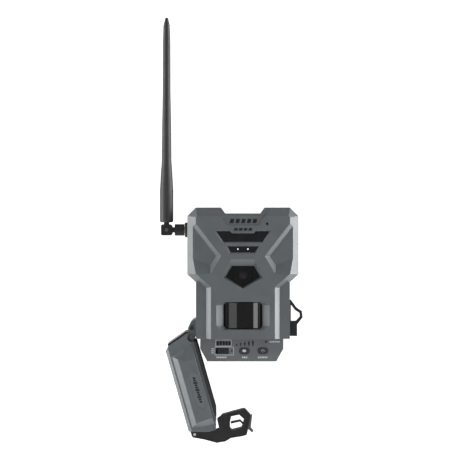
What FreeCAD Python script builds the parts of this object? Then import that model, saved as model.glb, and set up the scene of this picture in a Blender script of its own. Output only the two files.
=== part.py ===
import FreeCAD, Part
import math
import os

V = FreeCAD.Vector

# The camera stands with +Z up and looks along -Y.  The origin is the mouth of the tripod socket in
# the back.  "h" in every function is a height above the seam where the bottom door meets the body.

# ---- overall sizes, mm ----
BODY_HALF_W = 48.8
BODY_TOP = 115.3
BODY_DEPTH = 74.0
SOCKET_H = 62.0
REAR_STANDOFF = 7.0
LOWER_HALF_W = 41.2
FRONT_Y = -BODY_DEPTH
BACK_Y = -REAR_STANDOFF
PARTING_Y = -34.0

# ---- front relief ----
SIDE_BEVEL = 7.6
SHOULDER_BEVEL = 5.5
CORNER_BEVEL = 6.3
PANEL_CORNER = 1.2
RIDGE_HALF_W = 28.0
SHOULDER_LOW = 45.2
SHOULDER_HIGH = 57.0
LOWER_STEP = 4.2
LOWER_Y = FRONT_Y + LOWER_STEP
NOTCH_HALF_W = 15.5
NOTCH_DEPTH = 5.2
NOTCH_FLARE = 3.7
LABEL_DEPTH = 0.8
POCKET_DEPTH = 2.7
WALL = 2.6
LOWER_WALL = 2.1

# ---- windows and lenses ----
GLASS_T = 1.6
GLASS_GAP = 0.1
SEAT_LEDGE = 0.6
LENS_H = 55.5
LENS_R = 6.5
PIR_H = 20.6
PIR_HALF_W = 16.6
PIR_HALF_H = 11.1
PIR_CURVE_R = 30.0
PIR_CROWN = 2.0
MIC_X, MIC_H, MIC_R = 21.3, BODY_TOP - 14.3, 1.15

# ---- control section under the seam ----
PLUG_LEFT, PLUG_RIGHT = -37.5, 35.6
PLUG_DEEP = 20.0
PLUG_CHAMFER_H = 8.8
PLUG_CHAMFER_W = 6.2
PLUG_WALL = 2.2
FLANGE_H = 5.4
FLANGE_T = 2.0
BUTTON_TRAVEL = 0.8
SLIDER_TRAVEL = 2.2
SLIDE_GAP = 0.3

# ---- door ----
DOOR_OPEN = 74.0
DOOR_WALL = 2.4
DOOR_END_WALL = 1.8
DOOR_BOTTOM = 23.7
SEAM_GAP = 0.35
GASKET_T = 1.9
GASKET_GAP = 0.6
GASKET_RISE = 4.4
LIP_T = 0.8
LIP_RISE = 2.0
PIN_X, PIN_H, PIN_R = -45.3, 1.2, 1.5
PIN_CLEARANCE = 0.06
KNUCKLE_R = 3.2
BADGE_DEPTH = 0.6

# ---- latch ----
LATCH_Y = -54.0
CHEEK_T = 3.8
CHEEK_GAP = 7.4
LATCH_X, LATCH_H, LATCH_PIN_R = 37.8, -19.6, 1.2
POCKET_X, POCKET_TOP = 27.1, 34.6
LATCH_SWEEP_R = 73.3

# ---- batteries ----
CELL_R, CELL_L = 7.25, 50.5
CELL_GAP = 0.3
CELLS_ACROSS, CELLS_DEEP = 3, 2
TRAY_WALL = 1.2
BAY_GAP = 0.35
BAY_WALL = 1.4

# ---- antenna ----
SMA_H, SMA_Y = 95.6, -44.0
ELBOW_X = -67.5
WHIP_BOTTOM, WHIP_TOP = 102.3, 283.8
ELBOW_PIN_R = 1.1

# ---- fasteners and mounts ----
SOCKET_R, SOCKET_L = 3.175, 9.0
SCREW_R, SCREW_HEAD_R, SCREW_L = 1.4, 2.7, 30.0
SCREW_GAP = 0.1

PLUG_FRONT = LOWER_Y + DOOR_WALL + GASKET_T + GASKET_GAP
PLUG_BACK = BACK_Y - DOOR_WALL - GASKET_T - GASKET_GAP
BAY_BACK = PLUG_BACK - PLUG_WALL
BAY_DEEP = CELLS_DEEP * 2 * CELL_R + (CELLS_DEEP - 1) * CELL_GAP + 2 * BAY_GAP
BAY_FRONT = BAY_BACK - BAY_DEEP
TRAY_HALF_W = (CELLS_ACROSS * 2 * CELL_R + (CELLS_ACROSS - 1) * CELL_GAP) / 2 + TRAY_WALL
BAY_HALF_W = TRAY_HALF_W + BAY_GAP
TRAY_TOP = -PLUG_DEEP + TRAY_WALL * 2 + CELL_L + 6.0


def up(h):
    """Height above the seam to row height."""
    return h - SOCKET_H


def wire(points, y):
    """Closed outline in the plane at depth y from (x, h) points."""
    ring = [V(x, y, up(h)) for x, h in points]
    return Part.makePolygon(ring + ring[:1])


def prism(points, y0, y1):
    """Outline in X and height, pushed from y0 to y1."""
    return Part.Face(wire(points, y0)).extrude(V(0, y1 - y0, 0))


def taper(front_points, back_points, y_front, y_back):
    """Solid between two outlines that have the same number of corners."""
    return Part.makeLoft([wire(front_points, y_front), wire(back_points, y_back)], True, True)


def block(x0, x1, y0, y1, h0, h1):
    return Part.makeBox(x1 - x0, y1 - y0, h1 - h0, V(x0, y0, up(h0)))


def rod_x(y, h, r, x0, x1):
    return Part.makeCylinder(r, x1 - x0, V(x0, y, up(h)), V(1, 0, 0))


def rod_y(x, h, r, y0, y1):
    return Part.makeCylinder(r, y1 - y0, V(x, y0, up(h)), V(0, 1, 0))


def rod_z(x, y, r, h0, h1):
    return Part.makeCylinder(r, h1 - h0, V(x, y, up(h0)), V(0, 0, 1))


def ring_y(x, h, r_out, r_in, y0, y1):
    return rod_y(x, h, r_out, y0, y1).cut(rod_y(x, h, r_in, y0 - 1, y1 + 1))


def fuse(shapes):
    whole = shapes[0] if len(shapes) == 1 else shapes[0].multiFuse(shapes[1:])
    return whole.removeSplitter()


def group(shapes):
    """Separate solids that share one node."""
    return Part.makeCompound(shapes)


def mirrored(half):
    """Closed outline from its right half, listed from the bottom up."""
    return half + [(-x, h) for x, h in reversed(half)]


def flipped(shape):
    return shape.mirror(V(0, 0, 0), V(1, 0, 0))


def rounded_block(x0, x1, y0, y1, h0, h1, r):
    """Block with the four edges along Y rounded."""
    body = block(x0, x1, y0, y1, h0, h1)
    edges = [e for e in body.Edges if abs(e.tangentAt(e.FirstParameter).y) > 0.99]
    return body.makeFillet(r, edges)


def offset_edges(points, distances):
    """Move each edge of an outline outwards by its own distance and join the edges again."""
    count = len(points)
    lines = []
    for i in range(count):
        (x0, h0), (x1, h1) = points[i], points[(i + 1) % count]
        length = math.hypot(x1 - x0, h1 - h0)
        nx, nh = (h1 - h0) / length, -(x1 - x0) / length
        lines.append((nx, nh, nx * x0 + nh * h0 + distances[i]))
    moved = []
    for i in range(count):
        (a, b, c), (d, e, f) = lines[i - 1], lines[i]
        det = a * e - b * d
        moved.append(((c * e - b * f) / det, (a * f - c * d) / det))
    return moved


def offset_all(points, distance):
    return offset_edges(points, [distance] * len(points))


# ---- outlines shared by several pieces ----
PANEL_SIDE = BODY_HALF_W - SIDE_BEVEL
PANEL_TOP = BODY_TOP - SIDE_BEVEL
PANEL = mirrored([
    (RIDGE_HALF_W, 0), (RIDGE_HALF_W, SHOULDER_LOW), (PANEL_SIDE, SHOULDER_HIGH),
    (PANEL_SIDE, PANEL_TOP - PANEL_CORNER), (PANEL_SIDE - PANEL_CORNER, PANEL_TOP)])
HALF_BEVELS = [SIDE_BEVEL, SHOULDER_BEVEL, SIDE_BEVEL, CORNER_BEVEL]
EDGE = offset_edges(PANEL, HALF_BEVELS + [SIDE_BEVEL] + HALF_BEVELS[::-1] + [0])
EDGE_Y = FRONT_Y + SIDE_BEVEL


def shoulder_height(x):
    """Height of the shoulder's outer edge at half width x."""
    (x0, h0), (x1, h1) = EDGE[1], EDGE[2]
    return h0 + (h1 - h0) * (x - x0) / (x1 - x0)


LOWER = mirrored([(LOWER_HALF_W, 0), (LOWER_HALF_W, shoulder_height(LOWER_HALF_W)),
                  (RIDGE_HALF_W, shoulder_height(LOWER_HALF_W) + 6)])
NOTCH_H = BODY_TOP - NOTCH_DEPTH
NOTCH = mirrored([(NOTCH_HALF_W, NOTCH_H), (NOTCH_HALF_W + 2 * NOTCH_FLARE, BODY_TOP + NOTCH_DEPTH)])

WINDOW_TOP = BODY_TOP - 20.9
FLASH = mirrored([(17.1, WINDOW_TOP - 9.3), (23.3, WINDOW_TOP), (11.2, WINDOW_TOP), (9.5, WINDOW_TOP - 1.9)])
SENSOR = mirrored([(10.9, WINDOW_TOP - 18.5), (13.6, WINDOW_TOP - 13.3)])
LENS_FRAME = [(0, LENS_H - 11.3), (17.8, LENS_H - 1.7), (10.6, LENS_H + 14.2),
              (-10.6, LENS_H + 14.2), (-17.8, LENS_H - 1.7)]
LENS_SEAT = [(0, LENS_H - 10.4), (15.2, LENS_H - 1.2), (9.7, LENS_H + 8.6),
             (-9.7, LENS_H + 8.6), (-15.2, LENS_H - 1.2)]
LENS_SEAT_Y = FRONT_Y + 4.5
FLASH_SEAT_Y = FRONT_Y + 1.2


def chamfered_rect(half_w, h_mid, half_h, c):
    return mirrored([(half_w - c, h_mid - half_h), (half_w, h_mid - half_h + c),
                     (half_w, h_mid + half_h - c), (half_w - c, h_mid + half_h)])


PIR_FRAME = chamfered_rect(23.3, PIR_H - 0.2, 12.3, 3.4)
PIR_SEAT = chamfered_rect(PIR_HALF_W + 0.4, PIR_H, PIR_HALF_H + 0.4, 2.2)
PIR_SEAT_Y = FRONT_Y + 5.0


# ---- housings ----
def side_pocket():
    """Sunken field beside the middle panel, with a sloped wall that bends at its apex."""
    apex = (19.2, 72.7)
    arm = 1.29
    rim = [apex, (28.2, SHOULDER_HIGH + 0.1), (56, SHOULDER_HIGH + 0.1), (56, apex[1] + arm * (56 - apex[0]))]
    inner = apex[0] + 4.3
    floor = [(inner, apex[1]), (inner + 5.5, apex[1] - 8.1), (56, apex[1] + 3.0), (56, apex[1] + arm * (56 - inner))]
    return taper(rim, floor, FRONT_Y, FRONT_Y + POCKET_DEPTH)


def label_recess(outer):
    """Shallow field under the notch that follows the front's own surface."""
    field = [(-14.2, 99.6), (13.8, 99.6), (NOTCH_HALF_W + 8.4, BODY_TOP - 1.0), (NOTCH_HALF_W + 8.4, BODY_TOP + 5),
             (-NOTCH_HALF_W - 8.4, BODY_TOP + 5), (-NOTCH_HALF_W - 8.4, BODY_TOP - 1.0)]
    deeper = outer.copy()
    deeper.translate(V(0, LABEL_DEPTH, 0))
    return prism(field, FRONT_Y - 1, EDGE_Y + 4).cut(deeper)


def window_cuts(frame_points, seat_points, seat_y, depth):
    """Sloped frame, seat for the glass and a smaller hole behind it."""
    return [taper(frame_points, seat_points, FRONT_Y, seat_y),
            prism(seat_points, seat_y - 0.01, seat_y + GLASS_T),
            prism(offset_all(seat_points, -SEAT_LEDGE), seat_y, seat_y + depth)]


def screw_places():
    high = BODY_TOP - 11.5
    return [(x, h) for x in (-BODY_HALF_W + 6.4, BODY_HALF_W - 6.4) for h in (high, SHOULDER_HIGH + 6)]


def front_housing():
    outer = fuse([taper(PANEL, EDGE, FRONT_Y, EDGE_Y), prism(EDGE, EDGE_Y, PARTING_Y),
                  prism(LOWER, LOWER_Y, PARTING_Y)])
    recess = label_recess(outer)
    pocket = side_pocket()
    body = outer.cut(prism(NOTCH, FRONT_Y - 1, PARTING_Y + 1)).cut(recess)
    body = body.cut(pocket).cut(flipped(pocket))
    inner_edge = [(x, max(h, SHOULDER_LOW - 6)) for x, h in offset_all(EDGE, -WALL)]
    cavity = prism(inner_edge, EDGE_Y + 0.7, PARTING_Y + 1)
    cavity = cavity.cut(prism(offset_all(NOTCH, WALL), FRONT_Y, PARTING_Y + 2))
    side = LOWER_HALF_W - LOWER_WALL
    body = body.cut(cavity).cut(block(-side, side, LOWER_Y + LOWER_WALL, PARTING_Y + 1, -1, SHOULDER_LOW + 2))
    body = body.cut(block(-36, 36, FRONT_Y + 6.0, EDGE_Y + 2, SHOULDER_LOW, WINDOW_TOP + 4))
    latch_front, latch_back = latch_pocket_span()
    body = body.fuse(block(POCKET_X - 1.8, side + 0.5, latch_front - 1.8, latch_back + 1.8, FLANGE_H + FLANGE_T + 0.3,
                           POCKET_TOP + 1.8))
    body = body.cut(block(POCKET_X, LOWER_HALF_W + 5, latch_front, latch_back, -1, POCKET_TOP))
    cuts = window_cuts(offset_all(FLASH, 0.9), FLASH, FLASH_SEAT_Y, 12)
    cuts += window_cuts(offset_all(SENSOR, 0.9), SENSOR, FLASH_SEAT_Y, 12)
    cuts += window_cuts(LENS_FRAME, LENS_SEAT, LENS_SEAT_Y, 12)
    cuts += [taper(PIR_FRAME, PIR_SEAT, FRONT_Y, PIR_SEAT_Y), prism(PIR_SEAT, PIR_SEAT_Y - 0.01, FRONT_Y + 12)]
    cuts += [rod_y(MIC_X, MIC_H, MIC_R, FRONT_Y - 1, FRONT_Y + 12)]
    cuts += [prism([(-LOWER_HALF_W - 1, -1), (-side + 1, -1), (-side + 1, 5.2), (-LOWER_HALF_W - 1, 5.2)],
                   LOWER_Y + LOWER_WALL, PLUG_FRONT)]
    cuts += [rod_x(SMA_Y, SMA_H, 3.3, -BODY_HALF_W - 1, -BODY_HALF_W + WALL + 1)]
    for cut in cuts:
        body = body.cut(cut)
    posts = [rod_y(x, h, 3.2, EDGE_Y, PARTING_Y) for x, h in screw_places()]
    body = body.multiFuse(posts)
    holes = [rod_y(x, h, SCREW_R + SCREW_GAP, PARTING_Y - 14, PARTING_Y + 1) for x, h in screw_places()]
    return body.cut(group(holes)).removeSplitter()


def latch_pocket_span():
    half = CHEEK_GAP / 2 + CHEEK_T + 0.4
    return LATCH_Y - half, LATCH_Y + half


def housing_gasket():
    start, end = PARTING_Y, PARTING_Y + 0.8
    low = FLANGE_H + FLANGE_T + 1
    side = LOWER_HALF_W - 0.7
    lower = mirrored([(side, low), (side, shoulder_height(side) + 0.3), (RIDGE_HALF_W, shoulder_height(side) + 6)])
    outer = fuse([prism([(x, max(h, SHOULDER_LOW - 3)) for x, h in offset_all(EDGE, -0.7)], start, end),
                  prism(lower, start, end)])
    inner = fuse([prism([(x, max(h, SHOULDER_LOW - 4)) for x, h in offset_all(EDGE, -WALL)], start - 1, end + 1),
                  block(-side + 1.4, side - 1.4, start - 1, end + 1, low - 5, SHOULDER_LOW + 2)])
    bridge = offset_all(NOTCH, WALL)
    ring = outer.cut(inner.cut(prism(bridge, start - 2, end + 2)))
    ring = ring.cut(prism(offset_all(NOTCH, 0.7), start - 1, end + 1))
    holes = [rod_y(x, h, SCREW_R + 0.4, start - 1, end + 1) for x, h in screw_places()]
    return ring.cut(group(holes))


def tree_bar(x0, x1):
    """Upright foot on the back with a toothed face and a slot for a strap."""
    low, high, pitch = 12.0, BODY_TOP - 9, 6.0
    bar = block(x0, x1, BACK_Y - 0.5, 0, low, high)
    teeth = int((high - low) / pitch)
    for i in range(teeth + 1):
        h = low + (i + 0.5) * (high - low) / (teeth + 1)
        vee = [V(x0 - 1, 0.1, up(h - 1.9)), V(x0 - 1, 0.1, up(h + 1.9)), V(x0 - 1, -1.9, up(h))]
        bar = bar.cut(Part.Face(Part.makePolygon(vee + vee[:1])).extrude(V(x1 - x0 + 2, 0, 0)))
    return bar


def rear_housing():
    start = PARTING_Y + 0.8
    knee = BACK_Y - 6.0
    outer = fuse([prism(EDGE, start, knee), taper(EDGE, offset_all(EDGE, -5.0), knee, BACK_Y),
                  prism(LOWER, start, BACK_Y)])
    body = outer.cut(prism(NOTCH, start - 1, 1))
    cavity = prism([(x, max(h, SHOULDER_LOW - 6)) for x, h in offset_all(EDGE, -WALL)], start - 1, knee)
    cavity = cavity.cut(prism(offset_all(NOTCH, WALL), start - 2, 1))
    side = LOWER_HALF_W - LOWER_WALL
    body = body.cut(cavity).cut(block(-side, side, start - 1, BACK_Y - LOWER_WALL, -1, SHOULDER_LOW + 2))
    body = body.cut(block(-36, 36, knee - 1, BACK_Y - WALL, SHOULDER_LOW, BODY_TOP - 16))
    boss = rod_y(0, SOCKET_H, 9.5, BACK_Y - 6, 0)
    bars = [tree_bar(22, 32), tree_bar(-32, -22)]
    body = body.fuse(boss).multiFuse(bars)
    for x0 in (-33, 21):
        body = body.cut(block(x0, x0 + 12, -6.9, -2.3, SOCKET_H - 14.5, SOCKET_H + 14.5))
    body = body.cut(rod_y(0, SOCKET_H, SOCKET_R + 1.6, -SOCKET_L - 0.5, 1))
    body = body.cut(block(-LOWER_HALF_W - 1, -side + 1, PLUG_BACK, BACK_Y - LOWER_WALL, -1, 5.2))
    for x, h in screw_places():
        post = rod_y(x, h, 4.2, start, knee + 1.5)
        body = body.fuse(post).cut(rod_y(x, h, SCREW_R + SCREW_GAP, start - 1, 1))
        body = body.cut(rod_y(x, h, SCREW_HEAD_R + SCREW_GAP, knee - 3, 1))
    return body.removeSplitter()


def housing_screws():
    seat = BACK_Y - 9.0
    screws = []
    for x, h in screw_places():
        screw = fuse([rod_y(x, h, SCREW_HEAD_R, seat, seat + 2.2), rod_y(x, h, SCREW_R, seat - SCREW_L, seat)])
        socket = [(x + 1.3 * math.cos(a * math.pi / 3), h + 1.3 * math.sin(a * math.pi / 3)) for a in range(6)]
        screws.append(screw.cut(prism(socket, seat + 1.0, seat + 3)))
    return group(screws)


def tripod_insert():
    body = rod_y(0, SOCKET_H, SOCKET_R + 1.6, -SOCKET_L - 0.5, 0)
    for i in range(3):
        y = -1.8 - i * 2.6
        body = body.cut(ring_y(0, SOCKET_H, SOCKET_R + 3, SOCKET_R + 1.2, y - 0.9, y))
    return body.cut(rod_y(0, SOCKET_H, SOCKET_R, -SOCKET_L, 1))


# ---- control section and battery bay ----
SWITCH_X, SWITCH_H = -17.1, -10.6
TEST_X, TEST_H = 1.3, -10.7
POWER_X, POWER_H = 17.6, -10.6
LAMP_X, LAMP_H = 20.5, -2.7
SLIDER_W, SLIDER_TALL = 9.1, 4.7
BUTTON_W, BUTTON_TALL = 9.0, 5.4
PANEL_T = 2.4
BOARD_T = 1.6
JACK_R, JACK_L = 2.8, 9.5
CARD_T = 2.1


def plug_outline(inset):
    left, right = PLUG_LEFT + inset, PLUG_RIGHT - inset
    low = -PLUG_DEEP + inset
    return [(left + PLUG_CHAMFER_W, low), (right - PLUG_CHAMFER_W, low), (right, -PLUG_CHAMFER_H),
            (right, FLANGE_H + 0.1), (left, FLANGE_H + 0.1), (left, -PLUG_CHAMFER_H)]


def lower_frame():
    """Control panel, flange and battery bay in one moulding."""
    inside = LOWER_HALF_W - LOWER_WALL - 0.2
    plug = prism(plug_outline(0), PLUG_FRONT, PLUG_BACK)
    flange = block(-inside, inside, LOWER_Y + LOWER_WALL + 0.2, BACK_Y - LOWER_WALL - 0.2, FLANGE_H, FLANGE_H + FLANGE_T)
    bay = block(-BAY_HALF_W - BAY_WALL, BAY_HALF_W + BAY_WALL, BAY_FRONT - BAY_WALL, BAY_BACK + BAY_WALL * 0.5,
                0, TRAY_TOP + BAY_GAP + BAY_WALL)
    body = fuse([plug, flange])
    hollow = plug_outline(PLUG_WALL)
    hollow = [(x, h + (10 if h > 0 else 0)) for x, h in hollow]
    body = body.cut(prism(hollow, PLUG_FRONT + PANEL_T, BAY_FRONT - BAY_WALL))
    body = body.fuse(bay)
    body = body.cut(block(-BAY_HALF_W, BAY_HALF_W, BAY_FRONT, BAY_BACK, -PLUG_DEEP - 1, TRAY_TOP + BAY_GAP))
    latch_front, latch_back = latch_pocket_span()
    body = body.cut(block(POCKET_X - 2.1, LOWER_HALF_W, latch_front - 2.1, latch_back + 2.1, 0, POCKET_TOP))
    notch_x = PIN_X + LATCH_SWEEP_R - 3.4
    notch_wall = block(notch_x - 1.4, PLUG_RIGHT - 0.5, latch_front - 0.5, latch_back + 1.4, -PLUG_DEEP, 0)
    body = body.fuse(notch_wall.common(plug))
    body = body.cut(block(notch_x, LOWER_HALF_W, latch_front, latch_back, -PLUG_DEEP - 1, 1))
    slot = rounded_block(SWITCH_X - SLIDER_W / 2 - SLIDER_TRAVEL - SLIDE_GAP, SWITCH_X + SLIDER_W / 2 + SLIDE_GAP,
                         PLUG_FRONT - 1, PLUG_FRONT + PANEL_T + 1, SWITCH_H - SLIDER_TALL / 2 - SLIDE_GAP,
                         SWITCH_H + SLIDER_TALL / 2 + SLIDE_GAP, 0.8)
    body = body.cut(slot)
    for x, h in ((TEST_X, TEST_H), (POWER_X, POWER_H)):
        body = body.cut(button_shape(x, h, SLIDE_GAP, PLUG_FRONT - 1, PLUG_FRONT + PANEL_T + 1))
    body = body.cut(rod_y(LAMP_X, LAMP_H, 1.1, PLUG_FRONT - 1, PLUG_FRONT + PANEL_T + 1))
    body = body.cut(block(SD_X - 12.5, SD_X + 12.5, SD_Y - 1.5, SD_Y + 1.5, -PLUG_DEEP - 1, -PLUG_DEEP + PLUG_WALL + 1))
    return body.cut(rod_z(JACK_X, JACK_Y, JACK_R + 1.2, -PLUG_DEEP - 1, -PLUG_DEEP + PLUG_WALL + 1)).removeSplitter()


def button_shape(x, h, grow, y0, y1):
    """Oblong push button outline."""
    return rounded_block(x - BUTTON_W / 2 - grow, x + BUTTON_W / 2 + grow, y0, y1,
                         h - BUTTON_TALL / 2 - grow, h + BUTTON_TALL / 2 + grow, BUTTON_TALL / 2 - 0.2 + grow)


BOARD_Y = PLUG_FRONT + PANEL_T + 4.0
SD_X, SD_Y = -2.0, BOARD_Y + BOARD_T + 2.0
JACK_X, JACK_Y = 18.0, BAY_FRONT - BAY_WALL - JACK_R - 3.2


def push_button(x, h):
    """Cap in the panel, with a rim behind it that keeps it in."""
    cap = button_shape(x, h, 0, PLUG_FRONT - 0.2, PLUG_FRONT + PANEL_T + BUTTON_TRAVEL)
    rim_y = PLUG_FRONT + PANEL_T + 0.1
    rim = button_shape(x, h, SLIDE_GAP + 0.6, rim_y, rim_y + 0.8)
    dish = rod_y(x, h, 1.7, PLUG_FRONT - 1, PLUG_FRONT + 0.2)
    return fuse([cap, rim]).cut(dish)


def mode_slider():
    x0, x1 = SWITCH_X - SLIDER_W / 2, SWITCH_X + SLIDER_W / 2
    h0, h1 = SWITCH_H - SLIDER_TALL / 2, SWITCH_H + SLIDER_TALL / 2
    knob = block(x0, x1, PLUG_FRONT - 0.2, PLUG_FRONT + PANEL_T + 0.4, h0, h1)
    for i in range(4):
        x = x0 + SLIDER_W * (i + 1) / 5
        knob = knob.cut(block(x - 0.35, x + 0.35, PLUG_FRONT - 1, PLUG_FRONT + 0.3, h0 + 0.8, h1 - 0.8))
    rim_y = PLUG_FRONT + PANEL_T + 0.3
    return fuse([knob, block(x0 - 0.6, x1 + 0.6, rim_y, rim_y + 0.8, h0 - 0.7, h1 + 0.7)])


def control_board():
    return block(PLUG_LEFT + 7.5, LAMP_X + 2.0, BOARD_Y, BOARD_Y + BOARD_T, -16.2, FLANGE_H - 1)


def slide_switch():
    return block(SWITCH_X - 5.5, SWITCH_X + 5.5, BOARD_Y - 2.0, BOARD_Y, SWITCH_H - 2.2, SWITCH_H + 2.2)


def tact_switches():
    pads = []
    for x, h in ((TEST_X, TEST_H), (POWER_X, POWER_H)):
        stem_y = PLUG_FRONT + PANEL_T + 0.1 + 0.8 + BUTTON_TRAVEL + 0.1
        pads.append(fuse([block(x - 2, x + 2, BOARD_Y - 1.2, BOARD_Y, h - 2, h + 2), rod_y(x, h, 1.0, stem_y, BOARD_Y - 1)]))
    return group(pads)


def power_lamp():
    return fuse([rod_y(LAMP_X, LAMP_H, 1.0, PLUG_FRONT - 0.15, BOARD_Y), rod_y(LAMP_X, LAMP_H, 1.6, BOARD_Y - 1, BOARD_Y)])


def sd_card():
    card = block(SD_X - 12, SD_X + 12, SD_Y - CARD_T / 2, SD_Y + CARD_T / 2, -PLUG_DEEP + 0.5, -PLUG_DEEP + 32.5)
    corner = prism([(SD_X + 8, 14), (SD_X + 13, 9), (SD_X + 13, 15)], SD_Y - 2, SD_Y + 2)
    return card.cut(corner)


def sd_socket():
    low = -PLUG_DEEP + PLUG_WALL + 1.2
    shell = block(SD_X - 13.3, SD_X + 13.3, SD_Y - 1.9, SD_Y + 1.9, low, -PLUG_DEEP + 34)
    return shell.cut(block(SD_X - 12.3, SD_X + 12.3, SD_Y - 1.35, SD_Y + 1.35, low - 1, -PLUG_DEEP + 33))


def dc_jack():
    body = rod_z(JACK_X, JACK_Y, JACK_R + 1.1, -PLUG_DEEP + 0.1, -PLUG_DEEP + JACK_L + 1.5)
    body = body.cut(rod_z(JACK_X, JACK_Y, JACK_R, -PLUG_DEEP - 1, -PLUG_DEEP + 0.1 + JACK_L))
    return body.fuse(rod_z(JACK_X, JACK_Y, 1.0, -PLUG_DEEP + 1.5, -PLUG_DEEP + JACK_L + 1))


def battery_tray():
    """Open carrier: bottom cover with a pull lip, top plate and a middle web between the rows."""
    y0, y1 = BAY_FRONT + BAY_GAP, BAY_BACK - BAY_GAP
    low = -PLUG_DEEP + 0.1
    cover = block(-TRAY_HALF_W, TRAY_HALF_W, y0, y1, low, low + 2 * TRAY_WALL)
    top = block(-TRAY_HALF_W, TRAY_HALF_W, y0, y1, TRAY_TOP - TRAY_WALL, TRAY_TOP)
    sides = [block(-TRAY_HALF_W, -TRAY_HALF_W + TRAY_WALL - 0.1, y0, y1, low, TRAY_TOP),
             block(TRAY_HALF_W - TRAY_WALL + 0.1, TRAY_HALF_W, y0, y1, low, TRAY_TOP)]
    tray = fuse([cover, top] + sides)
    middle = (y0 + y1) / 2
    grip = block(-9, 9, middle - 4, middle + 4, low - 0.01, low + 1.5)
    lip = block(-9, 9, middle - 0.8, middle + 0.8, low, low + 1.6)
    return tray.cut(grip).fuse(lip).removeSplitter()


def cell_places():
    pitch = 2 * CELL_R + CELL_GAP
    y0 = BAY_FRONT + BAY_GAP + CELL_R
    return [((i - (CELLS_ACROSS - 1) / 2) * pitch, y0 + j * pitch)
            for j in range(CELLS_DEEP) for i in range(CELLS_ACROSS)]


CELL_LOW = -PLUG_DEEP + 2 * TRAY_WALL + 3.2


def battery(x, y, nose_up):
    """Round cell with its nose at one end."""
    low, high = CELL_LOW, CELL_LOW + CELL_L
    nose = 1.2
    if nose_up:
        can, tip = rod_z(x, y, CELL_R - 0.02, low, high - nose), rod_z(x, y, 2.6, high - nose, high)
    else:
        can, tip = rod_z(x, y, CELL_R - 0.02, low + nose, high), rod_z(x, y, 2.6, low, low + nose)
    return fuse([can, tip])


def tray_springs():
    """Coil contacts under each cell, as stacked rings joined by a short post."""
    coils = []
    floor = -PLUG_DEEP + 0.1 + 2 * TRAY_WALL
    for x, y in cell_places():
        rings = [Part.makeTorus(3.4 - 0.3 * i, 0.45, V(x, y, up(floor + 0.5 + 0.7 * i))) for i in range(3)]
        coils.append(fuse(rings + [rod_z(x, y, 3.4, floor, floor + 0.3)]))
    return group(coils)


def bay_contacts():
    """Flat plates over the cells, fixed in the top of the tray."""
    top = TRAY_TOP - TRAY_WALL
    return group([block(x - 4.5, x + 4.5, y - 4.5, y + 4.5, CELL_LOW + CELL_L + 0.05, top) for x, y in cell_places()])


# ---- camera, lights and sensor ----
def seated(points, y):
    return prism(offset_all(points, -GLASS_GAP), y, y + GLASS_T)


def lens_barrel():
    front = LENS_SEAT_Y + GLASS_T + 0.6
    steps = [(LENS_R, 0, 4), (LENS_R - 0.9, 4, 7), (LENS_R + 0.7, 7, 9), (LENS_R - 0.6, 9, 15)]
    body = fuse([rod_y(0, LENS_H, r, front + a, front + b) for r, a, b in steps])
    throat = Part.makeCone(LENS_R - 1.0, 2.6, 3.5, V(0, front - 0.01, up(LENS_H)), V(0, 1, 0))
    return body.cut(throat).cut(rod_y(0, LENS_H, 2.6, front + 3, front + 16))


def lens_glass():
    front = LENS_SEAT_Y + GLASS_T + 0.6
    bead = Part.makeSphere(7.0, V(0, front + 2.0 + 6.6, up(LENS_H)))
    dome = bead.common(rod_y(0, LENS_H, 3.35, front + 1.0, front + 3.0))
    dome = dome.cut(Part.makeSphere(7.0, V(0, front + 3.1 + 6.6, up(LENS_H))).common(rod_y(0, LENS_H, 2.0, front, front + 4)))
    seat = rod_y(0, LENS_H, 2.55, front + 3.6, front + 5.0)
    trimmed = dome.common(Part.makeCone(LENS_R - 1.1, 2.5, 3.5, V(0, front - 0.01, up(LENS_H)), V(0, 1, 0)))
    return group([trimmed, seat])


BARREL_BACK = LENS_SEAT_Y + GLASS_T + 0.6 + 15


def lens_holder():
    back = BARREL_BACK + 3
    box = block(-9, 9, BARREL_BACK - 5.9, back, LENS_H - 9, LENS_H + 9)
    feet = [rod_y(x, h, 2.6, back - 3, back) for x, h in ((-10, LENS_H - 8), (10, LENS_H + 8))]
    box = fuse([box] + feet).cut(rod_y(0, LENS_H, LENS_R - 0.55, BARREL_BACK - 8, back - 1.5))
    return box.cut(block(-6, 6, back - 2.5, back + 1, LENS_H - 6, LENS_H + 6))


def image_sensor():
    y = BARREL_BACK + 3
    return group([block(-5.5, 5.5, y - 1.6, y, LENS_H - 5, LENS_H + 5)])


def camera_board():
    y = BARREL_BACK + 3
    board = block(-17, 17, y, y + BOARD_T, LENS_H - 11, LENS_H + 13)
    return board.cut(group([rod_y(x, LENS_H + s, 1.3, y - 1, y + 3) for x in (-14.5, 14.5) for s in (-8.5, 10.5)]))


LED_BOARD_Y = FRONT_Y + 13.0


def led_board():
    return block(-25, 25, LED_BOARD_Y, LED_BOARD_Y + BOARD_T, WINDOW_TOP - 21, WINDOW_TOP + 1)


def led_places():
    pitch = 4.4
    upper = [((i - 4) * pitch, WINDOW_TOP - 4.1) for i in range(9)]
    return upper + [((i - 3.5) * pitch, WINDOW_TOP - 7.3) for i in range(8)]


def led_dome(x, h, r, front):
    body = rod_y(x, h, r, front + r, LED_BOARD_Y)
    dome = Part.makeSphere(r, V(x, front + r, up(h)))
    return fuse([body, dome])


def ir_leds():
    return group([led_dome(x, h, 1.2, FLASH_SEAT_Y + GLASS_T + 2.2) for x, h in led_places()])


def status_leds():
    return group([led_dome(x, WINDOW_TOP - 15.6, 0.9, FLASH_SEAT_Y + GLASS_T + 0.5) for x in (-4.7, 4.7)])


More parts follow.
